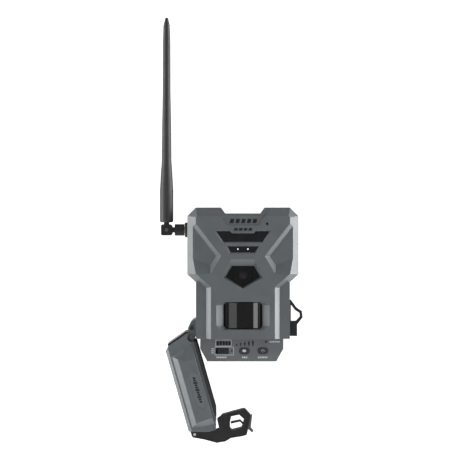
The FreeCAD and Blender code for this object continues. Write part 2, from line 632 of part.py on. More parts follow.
def pir_lens():
    """Upright curved cover over the motion sensor, open behind."""
    crown = FRONT_Y + PIR_CROWN
    low, high = PIR_H - PIR_HALF_H, PIR_H + PIR_HALF_H
    back = FRONT_Y + 12.5
    y_axis = crown + PIR_CURVE_R
    front = rod_z(0, y_axis, PIR_CURVE_R, low, high).common(block(-PIR_HALF_W, PIR_HALF_W, crown - 1, back, low, high))
    front = front.fuse(block(-PIR_HALF_W, PIR_HALF_W, back - 1.6, back, low, high))
    inner = rod_z(0, y_axis, PIR_CURVE_R - 1.0, low + 1, high - 1)
    inner = inner.common(block(-PIR_HALF_W + 1, PIR_HALF_W - 1, crown, back + 1, low + 1, high - 1))
    flange = block(-PIR_HALF_W - 1.5, PIR_HALF_W + 1.5, FRONT_Y + 12.1, back + 1, low - 1.5, high + 1.5)
    flange = flange.cut(block(-PIR_HALF_W + 1, PIR_HALF_W - 1, FRONT_Y + 12, back + 2, low + 1, high - 1))
    back_edge = block(-PIR_HALF_W + 1, PIR_HALF_W - 1, back - 2, back + 2, low + 1, high - 1)
    return front.fuse(flange).cut(inner).cut(back_edge).removeSplitter()


def pir_holder():
    """Short square tube from the front wall back to the curved cover's flange."""
    w, h = PIR_HALF_W + 0.5, PIR_HALF_H + 0.5
    y0, y1 = LOWER_Y + LOWER_WALL, FRONT_Y + 12.05
    tube = block(-w - 1.2, w + 1.2, y0, y1, PIR_H - h - 1.2, PIR_H + h + 1.2)
    return tube.cut(block(-w, w, y0 - 1, y1 + 1, PIR_H - h, PIR_H + h))


PIR_BOARD_Y = FRONT_Y + 22.0


def pir_sensor():
    can = rod_y(0, PIR_H, 4.1, PIR_BOARD_Y - 4.2, PIR_BOARD_Y)
    brim = rod_y(0, PIR_H, 4.6, PIR_BOARD_Y - 0.6, PIR_BOARD_Y)
    return fuse([can, brim]).cut(block(-2, 2, PIR_BOARD_Y - 5, PIR_BOARD_Y - 4, PIR_H - 1.5, PIR_H + 1.5))


def pir_board():
    return block(-20, 20, PIR_BOARD_Y, PIR_BOARD_Y + BOARD_T, FLANGE_H + FLANGE_T + 8.0, PIR_H + 13)


def microphone():
    return rod_y(MIC_X, MIC_H, 3.0, EDGE_Y + 1.0, EDGE_Y + 3.6)


MAIN_Y = PARTING_Y + 3.0


def main_board():
    top = BODY_TOP - 13
    board = block(-34, 34, MAIN_Y, MAIN_Y + BOARD_T, SHOULDER_LOW + 9, top)
    return board.cut(group([rod_y(x, h, 1.6, MAIN_Y - 1, MAIN_Y + 3) for x in (-31, 31) for h in (SHOULDER_LOW + 12, top - 3)]))


def board_screws():
    top = BODY_TOP - 13
    screws = []
    for x in (-31, 31):
        for h in (SHOULDER_LOW + 12, top - 3):
            screws.append(fuse([rod_y(x, h, 2.6, MAIN_Y + BOARD_T, MAIN_Y + BOARD_T + 1.5),
                                rod_y(x, h, 1.2, MAIN_Y - 3, MAIN_Y + BOARD_T)]))
    return group(screws)


def modem_shield():
    y = MAIN_Y + BOARD_T
    can = block(-26, 2, y, y + 2.6, SHOULDER_LOW + 16, SHOULDER_LOW + 42)
    return can.cut(block(-25.6, 1.6, y - 1, y + 2.2, SHOULDER_LOW + 16.4, SHOULDER_LOW + 41.6))


def board_chips():
    y = MAIN_Y - 1.6
    places = [(-14, 80, 7), (6, 84, 5), (20, 76, 4), (22, 92, 3), (-24, 92, 3)]
    return group([block(x - s, x + s, y, MAIN_Y, h - s, h + s) for x, h, s in places])


# ---- hinge ----
LUG_SPANS = ((PLUG_FRONT + 0.9, PLUG_FRONT + 7.4), (BACK_Y - 13.0, BACK_Y - 6.5))
KNUCKLE_SPANS = ((PLUG_FRONT + 7.8, PLUG_FRONT + 19.0), (BACK_Y - 25.0, BACK_Y - 13.4))
HINGE_Y = (LUG_SPANS[0][0] - 0.5, LUG_SPANS[1][1] + 0.5)
DOOR_SLANT = [(PIN_X - 4.6, PIN_H - 2.8), (PIN_X + 1.7, PIN_H - 21.4)]


def hinge_bracket():
    """Two lugs under a rounded hood, on a plate against the side of the body."""
    side = -LOWER_HALF_W
    hood = [(side, PIN_H + 2.8), (side, PIN_H + 16.3), (PIN_X + 1.6, PIN_H + 15.6), (PIN_X - 1.0, PIN_H + 12.6),
            (PIN_X - 2.9, PIN_H + 8.3)]
    lug = hood + [(PIN_X - 3.2, PIN_H), (PIN_X, PIN_H - 2), (side - 0.6, PIN_H - 1.2), (side - 0.6, PIN_H + 2.8)]
    y0, y1 = LUG_SPANS[0][0], LUG_SPANS[1][1]
    shapes = [prism(lug, a, b).fuse(rod_y(PIN_X, PIN_H, KNUCKLE_R, a, b)) for a, b in LUG_SPANS]
    skin = prism(hood, y0, y1).cut(prism(offset_all(hood, -1.6) + [], LUG_SPANS[0][1], LUG_SPANS[1][0]))
    skin = skin.cut(prism([(side - 1.7, PIN_H), (side - 1.7, PIN_H + 10), (PIN_X - 6, PIN_H + 10), (PIN_X - 6, PIN_H)],
                          LUG_SPANS[0][1], LUG_SPANS[1][0]))
    body = fuse(shapes + [skin])
    window = [(PIN_X - 1.7, PIN_H + 6.6), (side - 1.8, PIN_H + 6.6), (side - 1.8, PIN_H + 10.6), (PIN_X - 0.6, PIN_H + 10.6)]
    body = body.cut(prism(window, y0 - 1, LUG_SPANS[0][1] + 1))
    return body.cut(rod_y(PIN_X, PIN_H, PIN_R, y0 - 1, y1 + 1)).removeSplitter()


def hinge_pin():
    head = rod_y(PIN_X, PIN_H, PIN_R + 0.4, LUG_SPANS[0][0] - 1.0, LUG_SPANS[0][0])
    return fuse([head, rod_y(PIN_X, PIN_H, PIN_R, LUG_SPANS[0][0] - 0.5, LUG_SPANS[1][1])])


def hinge_leaf():
    """Black leaf on the door's slanted end with two knuckles round the pin."""
    top, bottom = DOOR_SLANT
    out_x, out_h = -1.42, -0.48
    leaf = [top, bottom, (bottom[0] + out_x, bottom[1] + out_h), (top[0] + out_x, top[1] + out_h)]
    arm = [(top[0] + out_x, top[1] + out_h), (PIN_X - 5.0, PIN_H - 0.6), (PIN_X - 2.2, PIN_H + 2.2), (PIN_X, PIN_H),
           (PIN_X - 1.5, PIN_H - 2.6), top]
    y0, y1 = LOWER_Y + 3, BACK_Y - 3
    body = prism(leaf, y0, y1)
    for a, b in LUG_SPANS:
        body = body.cut(rod_y(PIN_X, PIN_H, 8.0, a - 0.5, b + 0.5))
    parts = [body]
    for a, b in KNUCKLE_SPANS:
        parts += [prism(arm, a, b), rod_y(PIN_X, PIN_H, KNUCKLE_R, a, b)]
    return fuse(parts).cut(rod_y(PIN_X, PIN_H, PIN_R + PIN_CLEARANCE, HINGE_Y[0] - 5, HINGE_Y[1] + 5)).removeSplitter()


# ---- door, drawn shut ----
def opened(shape):
    """Swing a piece that is drawn shut to the hanging position."""
    turned = shape.copy()
    turned.rotate(V(PIN_X, 0, up(PIN_H)), V(0, 1, 0), DOOR_OPEN)
    return turned


DOOR_RIM_X = LATCH_X + 0.4
GASKET_LEFT, GASKET_RIGHT = PIN_X + 3.7, LATCH_X + 0.1
GASKET_STRIP = [(GASKET_LEFT, -2.6), (GASKET_RIGHT - 1.5, -2.6), (GASKET_RIGHT - 1.5, -0.1), (29.7, 2.5), (22.0, GASKET_RISE),
                (GASKET_LEFT + 1, GASKET_RISE), (GASKET_LEFT, GASKET_RISE - 1)]
DOOR_OUT = [(PIN_X + 5.3, -DOOR_BOTTOM), (LATCH_X - 4.4, -DOOR_BOTTOM), (LATCH_X + 0.6, -7.5),
            (DOOR_RIM_X, -SEAM_GAP), (PIN_X + 4.4, -SEAM_GAP), (PIN_X - 3.4, PIN_H - 1.6)] + DOOR_SLANT


def door_shell():
    outer = prism(DOOR_OUT, LOWER_Y, BACK_Y)
    lift = [(PIN_X + 14.8, -15.2), (28.5, -15.2), (27.6, -10.8), (27.4, -SEAM_GAP), (PIN_X + 18.8, -SEAM_GAP), (PIN_X + 18.1, -10.8)]
    foot = [(PIN_X + 11.7, -19.8), (31.0, -19.8), (32.6, -8.0), (32.6, -SEAM_GAP), (PIN_X + 6.3, -SEAM_GAP), (PIN_X + 6.9, -8.0)]
    outer = outer.fuse(taper(lift, foot, FRONT_Y, LOWER_Y + 0.01))
    low = -DOOR_BOTTOM
    for y, s in ((LOWER_Y, 1), (BACK_Y, -1)):
        edge = [V(-60, y - s, up(low - 1)), V(-60, y - s, up(low + 3.6)), V(-60, y + s * 2.6, up(low - 0.01)),
                V(-60, y + s * 2.6, up(low - 1))]
        outer = outer.cut(Part.Face(Part.makePolygon(edge + edge[:1])).extrude(V(120, 0, 0)))
    walls = [DOOR_WALL, DOOR_END_WALL, DOOR_END_WALL, 0, 0, 0, DOOR_WALL, DOOR_WALL]
    hollow = offset_edges(DOOR_OUT, [-w for w in walls])
    hollow = [(x, h if h < -2 else h + 3) for x, h in hollow]
    body = outer.cut(prism(hollow, LOWER_Y + DOOR_WALL, BACK_Y - DOOR_WALL))
    body = body.cut(rod_y(PIN_X, PIN_H, KNUCKLE_R + 0.4, FRONT_Y - 1, 1))
    for a, b in LUG_SPANS:
        body = body.cut(rod_y(PIN_X, PIN_H, 8.0, a - 0.5, b + 0.5))
    badge = badge_outline(0)
    body = body.cut(prism(badge, FRONT_Y - 1, FRONT_Y + BADGE_DEPTH))
    body = body.cut(block(LATCH_X - 1.3, LATCH_X + 0.3, LOWER_Y + DOOR_WALL, BACK_Y - DOOR_WALL, -1.7, 1))
    for h in (-1.9, -3.5):
        for y0, y1 in ((LOWER_Y - 1, LOWER_Y + 0.5), (BACK_Y - 0.5, BACK_Y + 1)):
            body = body.cut(block(33.4, DOOR_RIM_X + 2, y0, y1, h, h + 0.6))
            body = body.cut(block(PIN_X + 5, PIN_X + 5.8, y0, y1, h, h + 0.6))
    half = CHEEK_GAP / 2 - 0.3
    ear = [(LATCH_X - 5.0, -DOOR_BOTTOM + 0.6), (LATCH_X + 0.2, LATCH_H - 2.9), (LATCH_X + 2.9, LATCH_H),
           (LATCH_X + 0.2, LATCH_H + 2.9), (LATCH_X - 3.4, LATCH_H + 4.0)]
    body = body.fuse(prism(ear, LATCH_Y - half, LATCH_Y + half))
    body = body.cut(rod_y(LATCH_X, LATCH_H, LATCH_PIN_R + PIN_CLEARANCE, LATCH_Y - half - 1, LATCH_Y + half + 1))
    return opened(body.fuse(door_lip()).cut(hinge_leaf()).removeSplitter())


def badge_outline(grow):
    points = [(-12.5, -10.4), (12.5, -10.4), (17.8, -6.2), (13.0, -2.0), (-13.0, -2.0), (-17.8, -6.2)]
    return offset_all(points, grow)


def door_badge():
    return opened(prism(badge_outline(-0.15), FRONT_Y + 0.15, FRONT_Y + BADGE_DEPTH))


def door_lip():
    """Thin lip of the shell that carries the front run of the seal."""
    y0 = LOWER_Y + DOOR_WALL
    return prism(GASKET_STRIP, y0, y0 + LIP_T).common(block(-60, 60, y0 - 1, y0 + 2, -3, LIP_RISE))


def door_gasket():
    """Raised seal round the mouth of the door; it runs up into the gap beside the control section."""
    right, left = GASKET_RIGHT, GASKET_LEFT
    strip = GASKET_STRIP
    front = prism(strip, LOWER_Y + DOOR_WALL, LOWER_Y + DOOR_WALL + GASKET_T).cut(door_lip())
    back = prism(strip, BACK_Y - DOOR_WALL - GASKET_T, BACK_Y - DOOR_WALL)
    y0, y1 = LOWER_Y + DOOR_WALL, BACK_Y - DOOR_WALL
    sides = [block(left, left + 1.4, y0 + LIP_T, y1, -2.6, -0.6), block(right - 1.3, right, y0, y1, -1.6, -0.1)]
    bridges = [block(right - 2.2, right, a, a + GASKET_T, -1.6, -0.1).cut(door_lip()) for a in (y0, y1 - GASKET_T)]
    return opened(fuse([front, back] + sides + bridges))


# ---- latch, drawn against the shut door ----
CHEEK = [(LATCH_X + 2.0, LATCH_H - 2.6), (44.5, -12.7), (50.3, -3.0), (51.2, 4.6), (49.7, 10.2), (50.9, 20.4),
         (50.8, 24.3), (46.3, 26.9), (34.8, 32.4), (28.7, 29.4), (27.8, 27.8), (27.6, 8.8), (29.1, 6.6),
         (30.3, 3.1), (38.9, 2.5), (LATCH_X + 1.7, -7.3), (LATCH_X - 2.7, LATCH_H + 0.1)]
CHEEK_WINDOW = [(36.2, 13.2), (41.1, 11.9), (43.1, 13.1), (43.4, 21.6), (41.5, 23.2), (36.9, 25.9), (31.9, 22.8), (31.4, 15.6)]


def cheek_spans():
    half = CHEEK_GAP / 2
    return ((LATCH_Y - half - CHEEK_T, LATCH_Y - half), (LATCH_Y + half, LATCH_Y + half + CHEEK_T))


def latch_lever():
    """Forked lever: two cheeks with an eye for a padlock, joined by a web along the arm."""
    parts = []
    for a, b in cheek_spans():
        cheek = prism(CHEEK, a, b).fuse(rod_y(LATCH_X, LATCH_H, 2.9, a, b))
        cheek = cheek.cut(prism(CHEEK_WINDOW, a - 1, b + 1))
        rib = offset_all(CHEEK, -1.3)
        face = a if a < LATCH_Y else b - 0.5
        cheek = cheek.cut(prism(rib, face - 0.01, face + 0.51).cut(prism(offset_all(CHEEK_WINDOW, 1.2), a - 1, b + 1)))
        parts.append(cheek)
    web = [(LATCH_X + 0.7, LATCH_H + 5.8), (44.0, -13.0), (49.9, -3.0), (50.4, 0.8), (39.4, 0.8), (LATCH_X + 2.0, -7.3)]
    parts.append(prism(web, cheek_spans()[0][1] - 0.1, cheek_spans()[1][0] + 0.1))
    body = fuse(parts)
    pin_hole = rod_y(LATCH_X, LATCH_H, LATCH_PIN_R, cheek_spans()[0][0] - 1, cheek_spans()[1][1] + 1)
    return opened(body.cut(pin_hole))


def latch_bars():
    """Thin bent bar across the eye of each cheek."""
    bars = []
    bar = [(36.2, 13.9), (37.6, 13.7), (38.0, 21.6), (41.0, 23.3), (40.2, 24.2), (36.9, 22.4)]
    for a, b in cheek_spans():
        middle = (a + b) / 2
        piece = prism(bar, middle - 0.9, middle + 0.9)
        bars.append(piece.common(prism(offset_all(CHEEK_WINDOW, 0.0), a, b)))
    return opened(group(bars))


def latch_pin():
    a, b = cheek_spans()[0][0] - 0.7, cheek_spans()[1][1] + 0.7
    return opened(rod_y(LATCH_X, LATCH_H, LATCH_PIN_R, a + 0.3, b - 0.3))


def latch_tab():
    """Finger tab at the lever's tip, across both cheeks."""
    tab = [(35.375, 32.125), (46.3, 26.9), (49.9, 29.2), (49.4, 31.0), (46.1, 29.4), (42.2, 31.0), (35.2, 33.9)]
    a, b = cheek_spans()[0][0] + 0.3, cheek_spans()[0][1] - 0.3
    c, d = cheek_spans()[1][0] + 0.3, cheek_spans()[1][1] - 0.3
    return opened(group([prism(tab, a, b), prism(tab, c, d)]))


def latch_keeper():
    """Plate in the latch pocket with the keeper tab and a loop for a padlock."""
    half = CHEEK_GAP / 2 - 0.35
    side = LOWER_HALF_W
    plate = [(POCKET_X, 5.6), (side + 1, 2.0), (side + 6.7, 2.0), (side + 6.7, 12.3), (side + 11.6, 18.4),
             (side + 10.9, 24.0), (side + 6.1, 27.2), (side + 1.3, 34.0), (POCKET_X, POCKET_TOP - 0.3)]
    loop = [(side + 1.2, 15.4), (side + 5.6, 15.4), (side + 9.2, 19.3), (side + 8.8, 22.3), (side + 4.7, 25.0), (side + 1.2, 29.6)]
    return prism(plate, LATCH_Y - half, LATCH_Y + half).cut(prism(loop, LATCH_Y - half - 1, LATCH_Y + half + 1))


# ---- antenna ----
def turned_z(profile, x, y):
    """Solid of revolution about an upright axis from (radius, h) points."""
    ring = [V(x + r, y, up(h)) for r, h in profile]
    face = Part.Face(Part.makePolygon(ring + ring[:1]))
    return face.revolve(V(x, y, 0), V(0, 0, 1), 360)


def antenna_connector():
    x0 = -BODY_HALF_W
    body = fuse([rod_x(SMA_Y, SMA_H, 3.1, x0 - 8.5, x0 + WALL + 6), rod_x(SMA_Y, SMA_H, 5.0, x0 + WALL + 2.6, x0 + WALL + 5)])
    return body.cut(rod_x(SMA_Y, SMA_H, 2.0, x0 - 9, x0 - 3))


def hexagon_x(flat, x0, x1):
    r = flat / math.sqrt(3)
    ring = [V(x0, SMA_Y + r * math.cos(a * math.pi / 3), up(SMA_H) + r * math.sin(a * math.pi / 3)) for a in range(6)]
    return Part.Face(Part.makePolygon(ring + ring[:1])).extrude(V(x1 - x0, 0, 0))


def connector_nut():
    x0 = -BODY_HALF_W + WALL
    return hexagon_x(9.0, x0, x0 + 2.5).cut(rod_x(SMA_Y, SMA_H, 3.1, x0 - 1, x0 + 3))


def antenna_washer():
    x1 = -BODY_HALF_W
    body = rod_x(SMA_Y, SMA_H, 6.65, x1 - 2.6, x1).cut(rod_x(SMA_Y, SMA_H, 3.1, x1 - 3, x1 + 1))
    rim = [e for e in body.Edges if abs(e.BoundBox.XMin - (x1 - 2.6)) < 0.01 and e.Length > 30]
    return body.makeChamfer(0.6, rim)


def antenna_nut():
    """Knurled coupling nut on the connector."""
    x0, x1 = -BODY_HALF_W - 11.5, -BODY_HALF_W - 2.9
    body = rod_x(SMA_Y, SMA_H, 5.15, x0, x1)
    teeth = 24
    for i in range(teeth):
        a = 2 * math.pi * i / teeth
        body = body.cut(rod_x(SMA_Y + 5.35 * math.cos(a), SMA_H + 5.35 * math.sin(a), 0.42, x0 - 1, x1 - 1.2))
    body = body.cut(rod_x(SMA_Y, SMA_H, 3.2, x0 + 2.4, x1 + 1))
    return body.cut(rod_x(SMA_Y, SMA_H, 2.5, x0 - 1, x0 + 3))


def antenna_elbow():
    """Neck through the nut and a slotted knuckle that the whip folds in."""
    neck = rod_x(SMA_Y, SMA_H, 2.4, ELBOW_X + 4, -BODY_HALF_W - 8.7)
    neck = neck.fuse(rod_x(SMA_Y, SMA_H, 2.95, -BODY_HALF_W - 9.0, -BODY_HALF_W - 8.7))
    cheeks = block(ELBOW_X - 4.9, ELBOW_X + 5.3, SMA_Y - 5.0, SMA_Y + 5.0, SMA_H - 4.9, SMA_H + 4.9)
    cheeks = cheeks.common(rod_y(ELBOW_X, SMA_H, 6.2, SMA_Y - 6, SMA_Y + 6))
    slot = rod_y(ELBOW_X, SMA_H, 4.5, SMA_Y - 2.3, SMA_Y + 2.3)
    slot = slot.fuse(block(ELBOW_X - 8, ELBOW_X + 2.6, SMA_Y - 2.3, SMA_Y + 2.3, SMA_H - 2.6, SMA_H + 8))
    body = neck.fuse(cheeks).cut(slot)
    return body.cut(rod_y(ELBOW_X, SMA_H, ELBOW_PIN_R, SMA_Y - 6, SMA_Y + 6))


def elbow_pin():
    return fuse([rod_y(ELBOW_X, SMA_H, ELBOW_PIN_R, SMA_Y - 5.0, SMA_Y + 5.0),
                 rod_y(ELBOW_X, SMA_H, ELBOW_PIN_R + 0.5, SMA_Y - 5.4, SMA_Y - 5.0)])


def antenna_whip():
    tall = WHIP_TOP - WHIP_BOTTOM
    shape = [(0, 0), (5.2, 0), (5.9, 0.006), (5.9, 0.155), (4.95, 0.252), (4.3, 0.3), (3.95, 0.49), (3.45, 0.63),
             (3.3, 0.88), (2.85, 0.96), (1.7, 0.99), (0.9, 1.0), (0, 1.0)]
    whip = turned_z([(r, WHIP_BOTTOM + s * tall) for r, s in shape], ELBOW_X, SMA_Y)
    tongue = rod_y(ELBOW_X, SMA_H, 4.2, SMA_Y - 2.0, SMA_Y + 2.0)
    neck = block(ELBOW_X - 2.3, ELBOW_X + 2.3, SMA_Y - 2.0, SMA_Y + 2.0, SMA_H, WHIP_BOTTOM + 0.5)
    body = fuse([whip, tongue, neck])
    return body.cut(rod_y(ELBOW_X, SMA_H, ELBOW_PIN_R + PIN_CLEARANCE, SMA_Y - 3, SMA_Y + 3))


# ---- write one file per node ----
def build():
    nodes = {
        "front_housing": front_housing(), "rear_housing": rear_housing(), "housing_gasket": housing_gasket(),
        "housing_screws": housing_screws(), "tripod_insert": tripod_insert(), "lower_frame": lower_frame(),
        "flash_window": seated(FLASH, FLASH_SEAT_Y), "sensor_window": seated(SENSOR, FLASH_SEAT_Y),
        "lens_window": seated(LENS_SEAT, LENS_SEAT_Y), "lens_barrel": lens_barrel(), "lens_glass": lens_glass(),
        "lens_holder": lens_holder(), "image_sensor": image_sensor(), "camera_board": camera_board(),
        "led_board": led_board(), "ir_leds": ir_leds(), "status_leds": status_leds(), "pir_lens": pir_lens(),
        "pir_holder": pir_holder(), "pir_sensor": pir_sensor(), "pir_board": pir_board(), "microphone": microphone(),
        "main_board": main_board(), "board_screws": board_screws(), "modem_shield": modem_shield(),
        "board_chips": board_chips(), "control_board": control_board(), "slide_switch": slide_switch(),
        "mode_slider": mode_slider(), "tact_switches": tact_switches(),
        "test_button": push_button(TEST_X, TEST_H), "power_button": push_button(POWER_X, POWER_H),
        "power_lamp": power_lamp(), "sd_socket": sd_socket(), "sd_card": sd_card(), "dc_jack": dc_jack(),
        "battery_tray": battery_tray(), "tray_springs": tray_springs(), "tray_contacts": bay_contacts(),
        "hinge_bracket": hinge_bracket(), "hinge_pin": hinge_pin(), "hinge_leaf": opened(hinge_leaf()),
        "door_shell": door_shell(), "door_badge": door_badge(), "door_gasket": door_gasket(),
        "latch_keeper": latch_keeper(), "latch_lever": latch_lever(), "latch_bars": latch_bars(),
        "latch_pin": latch_pin(), "latch_tab": latch_tab(), "antenna_connector": antenna_connector(),
        "connector_nut": connector_nut(), "antenna_washer": antenna_washer(), "antenna_nut": antenna_nut(),
        "antenna_elbow": antenna_elbow(), "elbow_pin": elbow_pin(), "antenna_whip": antenna_whip(),
    }
    cells = cell_places()
    nodes["battery_cells_front"] = group([battery(x, y, i % 2 == 0) for i, (x, y) in enumerate(cells[:CELLS_ACROSS])])
    nodes["battery_cells_back"] = group([battery(x, y, i % 2 == 1) for i, (x, y) in enumerate(cells[CELLS_ACROSS:])])
    return nodes


os.makedirs("parts", exist_ok=True)
for name, shape in build().items():
    shape.exportStep("parts/" + name + ".step")
    print(name, "valid" if shape.isValid() else "NOT VALID", len(shape.Solids), round(shape.Volume, 1))
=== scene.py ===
"""Looks of a trail camera with a hinged battery door, a latch and a folding antenna.

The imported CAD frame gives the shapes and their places. Each sub-assembly below is a class that dresses its
own CAD nodes, and some add prints, rings and spots that ride on them.
"""
from __future__ import annotations

import logging
import math
from dataclasses import dataclass
from enum import Enum

import bmesh
import bpy
from mathutils import Matrix, Vector
from mathutils.bvhtree import BVHTree

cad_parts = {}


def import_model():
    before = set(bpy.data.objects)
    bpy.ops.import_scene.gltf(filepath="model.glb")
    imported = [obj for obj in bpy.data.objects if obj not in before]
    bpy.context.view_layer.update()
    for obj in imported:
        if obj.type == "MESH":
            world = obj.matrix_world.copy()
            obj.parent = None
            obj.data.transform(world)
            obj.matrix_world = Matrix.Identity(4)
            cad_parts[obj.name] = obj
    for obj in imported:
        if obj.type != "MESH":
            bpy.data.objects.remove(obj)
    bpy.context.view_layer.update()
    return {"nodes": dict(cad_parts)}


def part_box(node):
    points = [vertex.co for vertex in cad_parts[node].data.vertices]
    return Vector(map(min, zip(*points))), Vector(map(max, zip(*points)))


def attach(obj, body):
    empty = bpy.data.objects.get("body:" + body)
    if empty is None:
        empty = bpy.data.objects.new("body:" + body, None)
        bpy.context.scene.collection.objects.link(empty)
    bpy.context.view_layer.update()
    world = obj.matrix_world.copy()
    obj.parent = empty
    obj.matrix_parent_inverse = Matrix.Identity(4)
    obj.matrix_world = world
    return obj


LOG = logging.getLogger("trail_camera")
MM = 0.001
SEAM_TO_SOCKET = 62.0
INK_THICK = 0.05
INK_SUNK = 0.1
PROBE_Y = -0.2
DRAWN_OUT = 0.05
# Gain and lift of the lighter edge colour, which paints both edge wear and an edge highlight.
WORN_AND_HIGHLIGHT_GAIN = 2.6
WORN_AND_HIGHLIGHT_LIFT = 0.03

Point = tuple[float, float]
Triple = tuple[float, float, float]
Box = tuple[float, float, float, float]
Socket = bpy.types.NodeSocket


class Axis(Enum):
    """Direction that a grain runs along or a tube is turned about; the value is its index."""

    X = 0
    Y = 1
    Z = 2


class Graph:
    """Small helper around one material's node tree."""

    def __init__(self, name: str) -> None:
        """Starts an empty material with an output and a Principled shader."""
        self.material = bpy.data.materials.new(name)
        self.material.use_nodes = True
        self.tree = self.material.node_tree
        self.tree.nodes.clear()
        self.out = self.add("ShaderNodeOutputMaterial")
        self.shader = self.add("ShaderNodeBsdfPrincipled")
        self.link(self.shader.outputs[0], self.out.inputs["Surface"])
        self.place = self.add("ShaderNodeTexCoord").outputs["Object"]

    def add(self, kind: str, **values: object) -> bpy.types.Node:
        """Adds a node and sets its properties.

        Args:
            kind: Blender's type name of the node.
            values: property names and values.

        Returns:
            The new node.
        """
        node = self.tree.nodes.new(kind)
        for key, value in values.items():
            setattr(node, key, value)
        return node

    def link(self, source: Socket, target: Socket) -> None:
        """Links two sockets."""
        self.tree.links.new(source, target)

    def stretched(self, scale: Triple) -> Socket:
        """Gives Object coordinates multiplied by a scale for each axis."""
        mapping = self.add("ShaderNodeMapping")
        mapping.inputs["Scale"].default_value = scale
        self.link(self.place, mapping.inputs["Vector"])
        return mapping.outputs[0]

    def noise(self, size_mm: float, detail: float = 3.0, stretch: Triple = (1, 1, 1)) -> Socket:
        """Noise whose features are about size_mm across.

        Args:
            size_mm: size of one feature, in millimetres.
            detail: octaves of finer noise.
            stretch: scale for each axis, to draw the noise out.

        Returns:
            The noise's value socket.
        """
        node = self.add("ShaderNodeTexNoise")
        node.inputs["Scale"].default_value = 1.0 / (size_mm * MM)
        node.inputs["Detail"].default_value = detail
        self.link(self.stretched(stretch), node.inputs["Vector"])
        return node.outputs["Fac"]

    def ranged(
        self, value: Socket, low: float, high: float, start: float = 0.3, stop: float = 0.7
    ) -> Socket:
        """Maps a value to another range, clamped.

        Args:
            value: the value to map.
            low: result at start.
            high: result at stop.
            start: lower end of the value's range.
            stop: upper end of the value's range.

        Returns:
            The mapped value socket.
        """
        node = self.add("ShaderNodeMapRange")
        for name, number in (("From Min", start), ("From Max", stop), ("To Min", low), ("To Max", high)):
            node.inputs[name].default_value = number
        self.link(value, node.inputs["Value"])
        return node.outputs["Result"]

    def mixed(self, factor: Socket, a: Triple | Socket, b: Triple | Socket) -> Socket:
        """Mixes two colours.

        Args:
            factor: 0 for a, 1 for b.
            a: first colour or socket.
            b: second colour or socket.

        Returns:
            The mixed colour socket.
        """
        node = self.add("ShaderNodeMix", data_type="RGBA")
        self.link(factor, node.inputs["Factor"])
        for socket, value in ((node.inputs["A"], a), (node.inputs["B"], b)):
            if isinstance(value, Socket):
                self.link(value, socket)
            else:
                socket.default_value = (*value[:3], 1.0)
        return node.outputs["Result"]

    def math(self, operation: str, a: Socket, b: Socket | float) -> Socket:
        """Applies a Math node.

        Args:
            operation: Blender's name of the operation.
            a: first value.
            b: second value, a socket or a number.

        Returns:
            The result socket.
        """
        node = self.add("ShaderNodeMath", operation=operation)
        self.link(a, node.inputs[0])
        if isinstance(b, Socket):
            self.link(b, node.inputs[1])
        else:
            node.inputs[1].default_value = b
        return node.outputs[0]

    def soft_edge(self, radius_mm: float) -> Socket:
        """Rounded-edge normal of a radius."""
        node = self.add("ShaderNodeBevel", samples=4)
        node.inputs["Radius"].default_value = radius_mm * MM
        return node.outputs["Normal"]

    def bump(self, height: Socket, depth_mm: float, under: Socket | None = None) -> Socket:
        """Adds a bump layer.

        Args:
            height: height from 0 to 1.
            depth_mm: depth of the full height range.
            under: normal that the layer lies on.

        Returns:
            The bumped normal.
        """
        node = self.add("ShaderNodeBump")
        node.inputs["Distance"].default_value = depth_mm * MM
        self.link(height, node.inputs["Height"])
        if under is not None:
            self.link(under, node.inputs["Normal"])
        return node.outputs["Normal"]

    def edge_mask(self, radius_mm: float) -> Socket:
        """Is 1 along sharp edges and 0 on flat faces."""
        geometry = self.add("ShaderNodeNewGeometry")
        dot = self.add("ShaderNodeVectorMath", operation="DOT_PRODUCT")
        self.link(geometry.outputs["Normal"], dot.inputs[0])
        self.link(self.soft_edge(radius_mm), dot.inputs[1])
        return self.ranged(dot.outputs["Value"], 1.0, 0.0, 0.86, 0.99)

    def set(self, **values: float | tuple) -> None:
        """Sets the shader's own sockets by name, with _ for a space."""
        for key, value in values.items():
            name = key.replace("_", " ").replace("Specular IOR", "Specular IOR Level")
            socket = self.shader.inputs[name]
            socket.default_value = (*value, 1.0) if isinstance(value, tuple) else value


